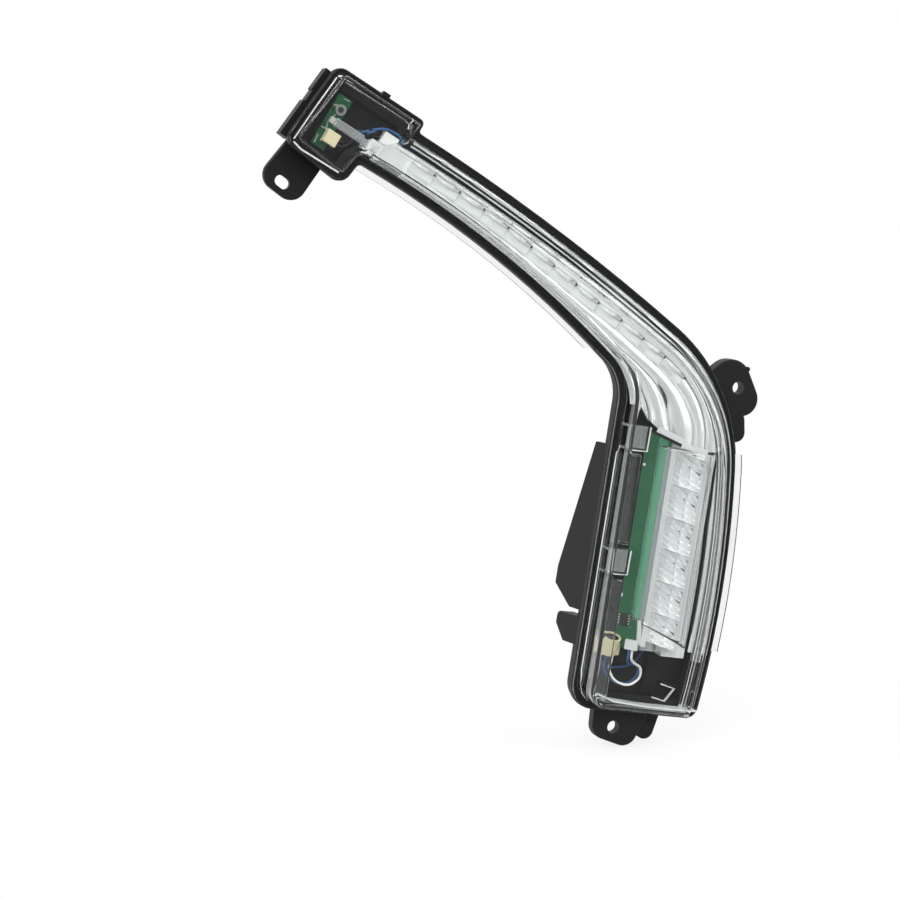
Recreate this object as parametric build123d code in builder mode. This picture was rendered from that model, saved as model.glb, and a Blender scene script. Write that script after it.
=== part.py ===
"""Daytime running light for a car's front corner, in millimetres.

+Z is up, the lens faces -Y, and +X is to the right seen from the front. The origin is on the axis of
the elbow ear's screw hole, in the mounting plane at the back of the ears. Heights called "front" are
measured from that plane towards the lens.
"""

import os
from math import atan2, cos, degrees, radians, sin, sqrt, tan

from build123d import *

# Outline of the flange: one outer edge of three arcs, seen from the front
EAR_REACH = 10.6
EAR_ANGLE = 22.0
ELBOW_RADIUS = 92.5
ELBOW_RISE = 28.4
ELBOW_FALL = 24.0
ARM_RADIUS = 1175.0
ARM_TURN = 8.3
LEG_RADIUS = 519.0
LEG_TURN = 14.75
LEG_WIDTH = 71.5
LEG_SLANT = 9.3
ARM_ROOT_WIDTH = 29.0
ARM_LOW_RADIUS = 567.0
ARM_LOW_HEADING = -29.3
ELBOW_INNER_RADIUS = 25.0
FOOT_RADIUS = 13.0
TOE_RADIUS = 7.0
LEAST_CORNER = 0.5

# Head of the lamp: a tilted box with its lower left sides turned a little further
HEAD_TILT = 32.0
HEAD_LEAN = 5.0
HEAD_STEP = 6.2
HEAD_TOP = 52.0
HEAD_SIDE = 45.7
HEAD_BOTTOM = 36.5
HEAD_TOE = 18.0
HEAD_CORNER = 6.0
HEAD_TOE_CORNER = 3.0
NOTCH_RADIUS = 3.0
STEP_RADIUS = 1.5
ROOT_OVERLAP = 6.0

# Heights and walls of the housing
FLANGE_FRONT = 12.0
FLANGE_THICK = 4.0
TRAY_DEPTH = 20.0
TRAY_INSET = 1.5
SHELF_BACK = 1.8
LOW_TRAY_INSET = 6.0
WALL = 2.2
GROOVE_INSET = 1.0
GROOVE_WIDTH = 1.7
GROOVE_DEPTH = 2.0

# Ears
EAR_HOLE = 6.6
EAR_THICK = 8.0
EAR_LOBE = 11.0
EAR_TIP = 9.0
EAR_KNOB = 5.0
EAR_NUB = 1.3
ELBOW_EAR_LOBES = ((-4.0, 4.0, EAR_LOBE), (2.3, -6.0, EAR_TIP), (-16.0, -2.0, EAR_TIP))
ELBOW_KNOB_LOBES = ((-1.0, -17.0, EAR_KNOB), (-0.8, -23.5, EAR_KNOB), (-12.0, -22.0, EAR_KNOB))
EAR_NUB_PLACE = (5.2, 9.6)
EAR_EDGE = 0.8
FLANGE_EDGE = 0.7
LOWER_EAR_THICK = 6.0
LOWER_EAR_LOBE = 7.7
LOWER_EAR_U = 29.6
LOWER_EAR_V = -9.4
LOWER_EAR_LOBES = (
    (-3.9, 1.4, LOWER_EAR_LOBE),
    (6.0, -2.7, LOWER_EAR_LOBE),
    (-3.0, 9.5, LOWER_EAR_LOBE),
    (11.0, 6.5, LOWER_EAR_LOBE),
)
LUG_LOBE = 5.0
LUG_LOBES = ((19.0, -3.5, LUG_LOBE), (23.0, 7.0, LUG_LOBE))
LUG_BACK = -5.0
LUG_FRONT = 3.0
UPPER_EAR_THICK = 3.0
UPPER_EAR_LOBE = 7.8
UPPER_EAR_NECK = 11.0
UPPER_EAR_X = -44.0
UPPER_EAR_Y = -55.8
UPPER_EAR_LOBES = (
    (-1.5, 3.6, UPPER_EAR_LOBE),
    (4.6, -1.0, UPPER_EAR_LOBE),
    (11.8, 14.3, UPPER_EAR_NECK),
)
SLOT_LENGTH = 8.0
SLOT_WIDTH = 5.5

# Side fin, locating peg and back of the housing
FIN_FLARE = 15.0
FIN_THICK = 3.0
FIN_HIGH = 137.0
FIN_LOW = 50.0
FIN_TOP_DEPTH = 9.5
FIN_DEPTH = 25.0
FIN_HEEL = 10.0
FIN_TIP = 9.0
PEG_HIGH = 46.5
PEG_LOW = 32.0
PEG_DEPTH = 19.0
PEG_THICK = 8.0
PEG_SLANT = 8.0
PEG_CORNER = 3.0
BACK_RIB = 3.0
BACK_RIB_WIDTH = 2.0

# Lugs on the head's rim, and ribs on the tray's floor at the foot
RIM_LUG = 5.0
RIM_RIB = 3.4
RIM_LUG_BACK = -1.0
RIM_LUG_FRONT = 7.0
RIM_LUGS = ((4.2, 16.7), (23.2, 43.2))
TOP_LUG_LEFT = -25.5
TOP_LUG_RIGHT = -21.5
TOP_LUG_WIDTH = 3.0
RIB_WIDTH = 1.2
DIVIDER_RISE = 2.0
DIVIDER = ((47.8, 26.8), (45.3, 5.0))
CATCH_RISE = 4.0
CATCH = ((55.5, 15.5), (63.7, 14.1), (59.0, 5.4), (51.5, 8.4))

# Rear socket, its blades and the breather
SOCKET_WIDTH = 24.0
SOCKET_HEIGHT = 14.0
SOCKET_DEPTH = 20.0
SOCKET_WALL = 1.8
SOCKET_FROM_RIGHT = 29.5
SOCKET_V = 84.0
PIN_COUNT = 3
PIN_PITCH = 5.5
PIN_WIDTH = 2.2
PIN_THICK = 0.8
PIN_REACH = 13.0
PIN_INNER = 2.4
SEAL_WIDTH = 1.8
SEAL_THICK = 2.5
VENT_RADIUS = 6.5
VENT_THICK = 3.0
VENT_STEM = 2.4
VENT_U = 30.0
VENT_V = 34.0

# Outer lens
LENS_WALL = 2.2
LENS_FLANGE = 1.8
LENS_EDGE_GAP = 0.4
LENS_INSET = 4.0
LENS_OUTER_INSET = 5.4
SHOULDER_WIDTH = 8.0
SHOULDER_RISE = 9.0
LENS_RISE_FOOT = 20.0
LENS_RISE_ROOT = 13.0
HEAD_LENS_HIGH = 12.5
HEAD_LENS_LOW = 4.0
LENS_EDGE = 2.4
HEAD_LENS_EDGE = 1.8
TONGUE_DEPTH = 1.0
TONGUE_GAP = 0.2
LEG_SKIRT = 3.0
ARM_SKIRT = 3.6
SKIRT_LOW = 37.0
SKIRT_HIGH = 141.0
ARM_SKIRT_LOW = 184.0
POCKET_LEFT = 4.6
POCKET_RIGHT = 17.0
POCKET_HEIGHT = 13.0
POCKET_RISE = 9.0
POCKET_WALL = 1.4
POCKET_V = (79.0, 143.0)

# Light guide and arm reflector
REFLECTOR_FRONT = 6.0
REFLECTOR_THICK = 2.0
REFLECTOR_OUTER = 7.4
REFLECTOR_INNER = 7.0
CHANNEL_INSETS = (7.5, 13.5, 20.5)
CHANNEL_WIDTH = 5.0
CHANNEL_RISES = (4.0, 6.0, 8.0)
CHANNEL_SPACING = 2.2
CHANNEL_GAP = 1.0
REFLECTOR_END = 140.8
REFLECTOR_TAB = 38.0
GUIDE_INSET = 8.6
GUIDE_GAP = 1.0
GUIDE_THICK = 8.0
GUIDE_END = 152.0
FACET_COUNT = 10
FACET_PITCH = 16.5
FACET_LENGTH = 15.0
FACET_RISE = 2.2
FACET_START = 7.0
GUIDE_NECK_LEFT = -20.0
GUIDE_NECK_RIGHT = 4.0
GUIDE_NECK_WIDTH = 8.2
GUIDE_LUG = 3.0
GUIDE_LUG_X = -12.5
GUIDE_LUG_Y = -20.0
TAIL_LEFT = -38.2
TAIL_WIDTH = 4.2
TAIL_Y = -17.6
TAIL_THICK = 4.0
GUIDE_FIT = 0.2
REFLECTOR_START = 0.5
ARM_POST_ALONG = (25.0, 95.0)
ARM_POST_INSET = 10.8
ARM_POST_RADIUS = 2.2

# Leg light unit
CELL_COUNT = 6
CELL_PITCH = 16.8
CELL_LOW = 37.0
CELL_LEFT = 33.0
CELL_BLOCK_INSET = 21.0
CELL_FRONT = 18.0
CELL_BACK = -2.0
CELL_BASE = 2.0
CELL_SPHERE = 13.0
CELL_RIM = 0.8
CELL_WALL = 1.6
CELL_SPHERE_U = 38.0
CELL_SPHERE_FRONT = 20.0
CELL_PAD_LEFT = 50.0
CELL_PAD_RIGHT = 56.0
CELL_PAD_LENGTH = 6.0
COVER_LEFT = 27.2
COVER_INSET = 17.0
COVER_FRONT = 24.0
COVER_WALL = 1.8
COVER_LOW = 41.0
COVER_HIGH = 140.6
COVER_FOOT = 31.0
COVER_STEP = 31.0
COVER_CORNER = 4.0
COVER_EDGE = 1.2

# Leg board: it leans, so that its back faces the cells
BOARD_LEFT = 20.0
BOARD_LOW = 34.0
BOARD_LENGTH = 113.0
BOARD_WIDTH = 13.6
BOARD_THICK = 1.6
BOARD_FRONT = 10.0
BOARD_LEAN = 36.0
LED_SIZE = 3.2
LED_THICK = 1.2
LED_S = 9.6
CHIP_WIDTH = 4.0
CHIP_LENGTH = 6.4
CHIP_THICK = 1.6
CHIP_S = 3.4
CHIP_T = 14.6
LEAD_WIDTH = 0.5
LEAD_LENGTH = 1.0
LEAD_THICK = 0.3
LEAD_PITCH = 1.4
LEADS_PER_SIDE = 4
RESISTOR_LENGTH = 1.8
RESISTOR_WIDTH = 1.1
RESISTOR_THICK = 0.6
RESISTOR_S = 7.4
RESISTOR_T = (11.0, 14.5, 18.0, 21.5)
HEADER_WIDTH = 10.5
HEADER_LENGTH = 12.5
HEADER_RIGHT = 23.2
HEADER_LOW = 30.0
HEADER_BACK = 6.5
HEADER_FRONT = 15.5
HEADER_MOUTH = 3.1
HEADER_MOUTH_DEPTH = 6.0
PLUG_WIDTH = 6.5
PLUG_LENGTH = 5.0
PLUG_THICK = 3.4
PLUG_S = 9.9
POST_WIDTH = 4.0
POST_LENGTH = 7.0
POST_V = (62.0, 118.0)

# Head board and its parts, in the head's own axes
HEAD_BOARD_LEFT = -42.6
HEAD_BOARD_WIDTH = 7.6
HEAD_BOARD_LOW = -32.0
HEAD_BOARD_LENGTH = 28.0
HEAD_BOARD_BACK = 3.0
HEAD_POST_LENGTH = 5.0
HEAD_POST_INSET = 1.0
NECK_POST_INSET = 4.0
GUIDE_LED_LENGTH = 2.4
GUIDE_LED_THICK = 4.0
HEAD_HEADER_LEFT = -39.2
HEAD_HEADER_WIDTH = 7.0
HEAD_HEADER_LENGTH = 6.6
HEAD_HEADER_Y = -25.4
HEAD_HEADER_THICK = 5.4
INLINE_X = -10.0
INLINE_Y = -10.4
INLINE_LENGTH = 8.0
INLINE_WIDTH = 5.0
INLINE_THICK = 5.0
INLINE_BACK = 4.2

# Screws that hold the boards and the reflector
SCREW_RADIUS = 1.25
SCREW_HEAD = 2.7
SCREW_HEAD_THICK = 1.8
SCREW_LENGTH = 7.0
SCREW_SLOT = 0.8
SCREW_SLOT_DEPTH = 0.7
BOSS_RADIUS = 3.2
HEAD_SCREW = (-38.2, -11.0)
ELBOW_SCREW = (48.4, 146.5)
SCREW_FIT = 0.2

# Wires
WIRE_RADIUS = 0.65
WIRE_SLACK = 0.45
JUMPER_SPACING = 0.9

flange_back = FLANGE_FRONT - FLANGE_THICK
tray_back = FLANGE_FRONT - TRAY_DEPTH
floor_front = tray_back + WALL
cavity_inset = TRAY_INSET + WALL
low_cavity_inset = LOW_TRAY_INSET + WALL
shelf_front = SHELF_BACK + WALL
lens_inside = LENS_INSET + LENS_WALL
lens_outer_inside = LENS_OUTER_INSET + LENS_WALL
ridge_inset = LENS_INSET + SHOULDER_WIDTH
wire_low = floor_front + WIRE_RADIUS
guide_width = ARM_ROOT_WIDTH - GUIDE_INSET - lens_inside - GUIDE_GAP
socket_u = LEG_WIDTH - SOCKET_FROM_RIGHT
os.makedirs("parts", exist_ok=True)


def heading(angle):
    """Unit step in the flat outline, at an angle in degrees from +X towards +Z."""
    return Vector(cos(radians(angle)), sin(radians(angle)))


# Centres of the outline's arcs, each arc starting where its neighbour ends
arm_start = EAR_ANGLE + ELBOW_RISE
leg_start = EAR_ANGLE - ELBOW_FALL
leg_end = leg_start - LEG_TURN
elbow_centre = heading(EAR_ANGLE) * -(EAR_REACH + ELBOW_RADIUS)
arm_centre = elbow_centre + heading(arm_start) * (ELBOW_RADIUS - ARM_RADIUS)
leg_centre = elbow_centre + heading(leg_start) * (ELBOW_RADIUS - LEG_RADIUS)
arm_root = arm_centre + heading(arm_start + ARM_TURN) * ARM_RADIUS
toe = leg_centre + heading(leg_end) * LEG_RADIUS
leg_right = heading(-LEG_SLANT)
leg_up = heading(90 - LEG_SLANT)
foot = toe - leg_right * LEG_WIDTH
head_right = heading(-HEAD_TILT)
head_up = heading(90 - HEAD_TILT)


def leg_at(u, v):
    """Flat point from the leg's own axes: u right from its left edge, v up from its foot."""
    return foot + leg_right * u + leg_up * v


def head_at(x, y):
    """Flat point from the head's own axes, which start where the arm's outer edge leaves the head."""
    return arm_root + head_right * x + head_up * y


def arm_at(along, inset):
    """Flat point on the arm, a length along its outer edge from the head and a distance inside it."""
    return arm_centre + heading(arm_start + ARM_TURN - degrees(along / ARM_RADIUS)) * (ARM_RADIUS - inset)


def lifted(point, front):
    """Point in space from a flat point and its height in front of the mounting plane."""
    return Vector(point.X, -front, point.Y)


low_root = head_at(-HEAD_TOE, -ARM_ROOT_WIDTH)
low_centre = low_root + heading(ARM_LOW_HEADING - 90) * ARM_LOW_RADIUS
low_start = ARM_LOW_HEADING + 90
upper_lap = degrees((HEAD_TOE + ROOT_OVERLAP) / ARM_RADIUS)
lower_lap = degrees(ROOT_OVERLAP / ARM_LOW_RADIUS)


def placed(face, front):
    """A flat face set at a height in front of the mounting plane, looking to the front."""
    with BuildSketch(Plane.XZ.offset(front)) as sketch:
        add(face)
    return sketch.sketch


def band_face(outer, inner, low, toe_corner=0.0):
    """Arm and leg band, with its outer, inner and foot edges set in by the given amounts."""
    centre_u = (leg_centre - foot).dot(leg_right)
    centre_v = (leg_centre - foot).dot(leg_up)
    radius = LEG_RADIUS - outer
    toe_u = centre_u + sqrt(radius**2 - (low - centre_v) ** 2)
    toe_point = leg_at(toe_u, low)
    toe_angle = degrees(atan2(toe_point.Y - leg_centre.Y, toe_point.X - leg_centre.X))
    low_radius = ARM_LOW_RADIUS + inner
    low_u = (low_centre - foot).dot(leg_right)
    low_v = (low_centre - foot).dot(leg_up)
    corner = leg_at(inner, low_v + sqrt(low_radius**2 - (inner - low_u) ** 2))
    corner_angle = degrees(atan2(corner.Y - low_centre.Y, corner.X - low_centre.X))
    with BuildSketch() as band:
        with BuildLine():
            CenterArc(leg_centre, radius, toe_angle, leg_start - toe_angle)
            CenterArc(elbow_centre, ELBOW_RADIUS - outer, leg_start, ELBOW_FALL + ELBOW_RISE)
            upper = CenterArc(arm_centre, ARM_RADIUS - outer, arm_start, ARM_TURN + upper_lap)
            lower = CenterArc(low_centre, low_radius, corner_angle, low_start + lower_lap - corner_angle)
            Line(upper @ 1, lower @ 1)
            Polyline(corner, leg_at(inner, low), toe_point)
        make_face()
        fillet(band.vertices().sort_by_distance(corner)[0], ELBOW_INNER_RADIUS + inner)
        fillet(band.vertices().sort_by_distance(leg_at(inner, low))[0], FOOT_RADIUS - low)
        if toe_corner > 0:
            fillet(band.vertices().sort_by_distance(toe_point)[0], toe_corner)
    return band.sketch


def head_face(inset):
    """Head of the lamp with its edges set in, open towards the arm."""
    side = Vector(0, HEAD_STEP) + heading(-90 - HEAD_LEAN) * HEAD_SIDE - Vector(HEAD_TOP, 0)
    bottom = side + heading(-HEAD_LEAN) * HEAD_BOTTOM
    corners = [
        head_at(0, HEAD_STEP),
        head_at(-HEAD_TOP, HEAD_STEP),
        head_at(side.X, side.Y),
        head_at(bottom.X, bottom.Y),
        head_at(-HEAD_TOE, -ARM_ROOT_WIDTH),
        head_at(0, HEAD_TOE - ARM_ROOT_WIDTH),
    ]
    with BuildSketch() as head:
        with BuildLine():
            Polyline(*corners, close=True)
        make_face()
        fillet(head.vertices().sort_by_distance(corners[0])[0], HEAD_TOE_CORNER)
        fillet(head.vertices().sort_by_distance(corners[1])[0], HEAD_CORNER)
        fillet(head.vertices().sort_by_distance(corners[2])[0], HEAD_CORNER)
        fillet(head.vertices().sort_by_distance(corners[3])[0], HEAD_CORNER)
        if inset != 0:
            offset(amount=-inset)
    return head.sketch


def lamp_face(inset):
    """Whole front outline of the lamp, set in by an amount."""
    with BuildSketch() as lamp:
        add(band_face(inset, inset, inset, max(TOE_RADIUS - inset, LEAST_CORNER)))
        add(head_face(inset))
        step = head_at(-inset, -inset)
        notch = head_at(-HEAD_TOE - inset, inset - ARM_ROOT_WIDTH)
        fillet(lamp.vertices().sort_by_distance(step)[0], STEP_RADIUS)
        fillet(lamp.vertices().sort_by_distance(notch)[0], NOTCH_RADIUS)
    return lamp.sketch


def low_tray_face(inset):
    """Outline of the tray's deep middle, set in by an amount."""
    with BuildSketch() as tray:
        add(band_face(inset, inset, inset))
        add(head_face(inset))
    return tray.sketch


def ring_face(inset, width):
    """Closed band that follows the outline."""
    with BuildSketch() as ring:
        add(lamp_face(inset))
        add(lamp_face(inset + width), mode=Mode.SUBTRACT)
    return ring.sketch


def leg_pad(left, right, low, high):
    """Rectangle in the leg's own axes."""
    with BuildSketch() as pad:
        with Locations(Location(leg_at((left + right) / 2, (low + high) / 2), (0, 0, -LEG_SLANT))):
            Rectangle(right - left, high - low)
    return pad.sketch


def head_pad(left, right, low, high):
    """Rectangle in the head's own axes."""
    with BuildSketch() as pad:
        with Locations(Location(head_at((left + right) / 2, (low + high) / 2), (0, 0, -HEAD_TILT))):
            Rectangle(right - left, high - low)
    return pad.sketch


def leg_spot(u, v, width, height):
    """Rectangle about a point in the leg's own axes."""
    return leg_pad(u - width / 2, u + width / 2, v - height / 2, v + height / 2)


def head_spot(x, y, length, width):
    """Rectangle about a point in the head's own axes."""
    return head_pad(x - length / 2, x + length / 2, y - width / 2, y + width / 2)


def disc(centre, radius):
    """Round face about a flat point."""
    with BuildSketch() as round_face:
        with Locations(Location(centre)):
            Circle(radius)
    return round_face.sketch


def rib_face(points, width):
    """Rib of a steady width along flat points."""
    with BuildSketch() as rib:
        with BuildLine():
            Polyline(*points)
        trace(line_width=width)
    return rib.sketch


def lobed_face(origin, lobes):
    """Hull of round lobes, each given by its place from a flat origin and its radius."""
    with BuildSketch() as hull:
        for right, up, radius in lobes:
            with Locations(Location(origin + Vector(right, up))):
                Circle(radius)
        make_hull(hull.edges())
    return hull.sketch


def rounded_plate(face, front, thick, edge):
    """Plate standing on a height, with the rim of its front face rounded."""
    with BuildPart() as plate:
        extrude(placed(face, front), amount=thick)
        fillet(plate.faces().sort_by(Axis.Y)[0].edges(), edge)
    return plate.part


# Planes of the tilted pieces
front_axis = Vector(0, -1, 0)
leg_right_axis = Vector(leg_right.X, 0, leg_right.Y)
leg_up_axis = Vector(leg_up.X, 0, leg_up.Y)
head_up_axis = Vector(head_up.X, 0, head_up.Y)
lean_right = leg_right_axis * cos(radians(BOARD_LEAN)) + front_axis * sin(radians(BOARD_LEAN))
lean_front = front_axis * cos(radians(BOARD_LEAN)) - leg_right_axis * sin(radians(BOARD_LEAN))
board_plane = Plane(lifted(leg_at(BOARD_LEFT, BOARD_LOW), BOARD_FRONT), x_dir=lean_right, z_dir=lean_front)
board_back = board_plane.offset(-BOARD_THICK)
fin_back = leg_right_axis * -sin(radians(FIN_FLARE)) - front_axis * cos(radians(FIN_FLARE))
fin_inward = leg_right_axis * cos(radians(FIN_FLARE)) - front_axis * sin(radians(FIN_FLARE))
fin_plane = Plane(lifted(foot, flange_back), x_dir=fin_back, z_dir=fin_inward)

foot_middle = leg_at(LEG_WIDTH / 2, 0)
lens_run = arm_root - foot_middle
lens_slope = (LENS_RISE_ROOT - LENS_RISE_FOOT) / lens_run.length
lens_step = lens_run.normalized()
lens_normal = front_axis - Vector(lens_step.X, 0, lens_step.Y) * lens_slope
lens_front = Plane(lifted(foot_middle, FLANGE_FRONT + LENS_RISE_FOOT), z_dir=lens_normal)
head_slope = (HEAD_LENS_HIGH - HEAD_LENS_LOW) / HEAD_SIDE
head_normal = front_axis - head_up_axis * head_slope
head_front = Plane(lifted(head_at(0, HEAD_STEP), FLANGE_FRONT + HEAD_LENS_HIGH), z_dir=head_normal)
lens_reach = LENS_RISE_FOOT * 2


def lens_block(face, front, edge):
    """Solid from the flange up to a sloping front, with its front edge rounded where an edge is given."""
    with BuildPart() as block:
        extrude(placed(face, FLANGE_FRONT), amount=lens_reach)
        split(bisect_by=front, keep=Keep.BOTTOM)
        if edge > 0:
            fillet(block.faces().sort_by(Axis.Y)[0].edges(), edge)
    return block.part


def strip_face(inset, width):
    """Strip that follows the outer edge from the head to the foot, between two distances inside it."""
    with BuildSketch() as strip:
        with BuildLine():
            for depth in (inset, inset + width):
                CenterArc(leg_centre, LEG_RADIUS - depth, leg_end, LEG_TURN)
                CenterArc(elbow_centre, ELBOW_RADIUS - depth, leg_start, ELBOW_FALL + ELBOW_RISE)
                CenterArc(arm_centre, ARM_RADIUS - depth, arm_start, ARM_TURN)
            outer_toe = leg_centre + heading(leg_end) * (LEG_RADIUS - inset)
            Line(outer_toe, outer_toe - heading(leg_end) * width)
            Line(arm_at(0, inset), arm_at(0, inset + width))
        make_face()
    return strip.sketch


def bends(points):
    """Bend radius at each inner point of a wire: as large as the two runs beside it allow."""
    radii = []
    for before, here, after in zip(points, points[1:], points[2:]):
        half_turn = radians((here - before).get_angle(after - here) / 2)
        radii.append(WIRE_SLACK * min((here - before).length, (after - here).length) / tan(half_turn))
    return radii


def wire_solid(points):
    """Round wire through straight runs and tangent bends."""
    with BuildPart() as wire:
        with BuildLine() as path:
            FilletPolyline(*points, radius=bends(points))
        with BuildSketch(Plane(path.line @ 0, z_dir=path.line % 0)):
            Circle(WIRE_RADIUS)
        sweep()
    return wire.part


def finish(part, name):
    """Label a finished piece and write it."""
    part.label = name
    export_step(part, f"parts/{name}.step")


# Places that several pieces share
elbow_ear = Vector(0, 0)
upper_ear = head_at(UPPER_EAR_X, UPPER_EAR_Y)
lower_ear = leg_at(LOWER_EAR_U, LOWER_EAR_V)
socket_left = socket_u - SOCKET_WIDTH / 2
socket_low = SOCKET_V - SOCKET_HEIGHT / 2
vent_middle = leg_at(VENT_U, VENT_V)
pin_places = [socket_u + (index - (PIN_COUNT - 1) / 2) * PIN_PITCH for index in range(PIN_COUNT)]
reflector_back = REFLECTOR_FRONT - REFLECTOR_THICK
channel_end = BOARD_LOW + BOARD_LENGTH + CHANNEL_GAP
channel_limit = GUIDE_INSET + guide_width + CHANNEL_SPACING
head_board_front = HEAD_BOARD_BACK + BOARD_THICK
screw_places = [
    (head_at(*HEAD_SCREW), HEAD_BOARD_BACK, BOARD_THICK),
    (leg_at(*ELBOW_SCREW), reflector_back, REFLECTOR_THICK),
]
head_left = head_at(-HEAD_TOP, HEAD_STEP)
head_down = heading(-90 - HEAD_TILT - HEAD_LEAN)
cell_high = CELL_LOW + CELL_COUNT * CELL_PITCH
cell_middles = [CELL_LOW + (index + 0.5) * CELL_PITCH for index in range(CELL_COUNT)]
cell_base_front = CELL_BACK + CELL_BASE

# Rear housing: tray with flange, ears, fin, peg and socket shroud, then the posts inside
with BuildPart() as board_posts:
    for post_v in POST_V:
        post = leg_pad(BOARD_LEFT, BOARD_LEFT + POST_WIDTH, post_v, post_v + POST_LENGTH)
        extrude(placed(post, floor_front), amount=BOARD_FRONT + POST_WIDTH - floor_front)
    split(bisect_by=board_back, keep=Keep.BOTTOM)

with BuildSketch(fin_plane) as fin_face:
    with BuildLine():
        Polyline(
            (-FLANGE_THICK, FIN_HIGH),
            (FIN_TOP_DEPTH, FIN_HIGH),
            (FIN_DEPTH, FIN_LOW + FIN_HEEL + FIN_TIP),
            (FIN_DEPTH, FIN_LOW + FIN_HEEL),
            (FIN_HEEL, FIN_LOW),
            (-FLANGE_THICK, FIN_LOW),
            close=True,
        )
    make_face()

with BuildSketch(fin_plane) as peg_face:
    with BuildLine():
        Polyline(
            (-FLANGE_THICK, PEG_HIGH),
            (PEG_DEPTH, PEG_HIGH),
            (PEG_DEPTH, PEG_LOW + PEG_SLANT),
            (PEG_DEPTH - PEG_SLANT, PEG_LOW),
            (-FLANGE_THICK, PEG_LOW),
            close=True,
        )
    make_face()
    fillet(peg_face.vertices().group_by(Axis.Y)[-1], PEG_CORNER)

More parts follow.
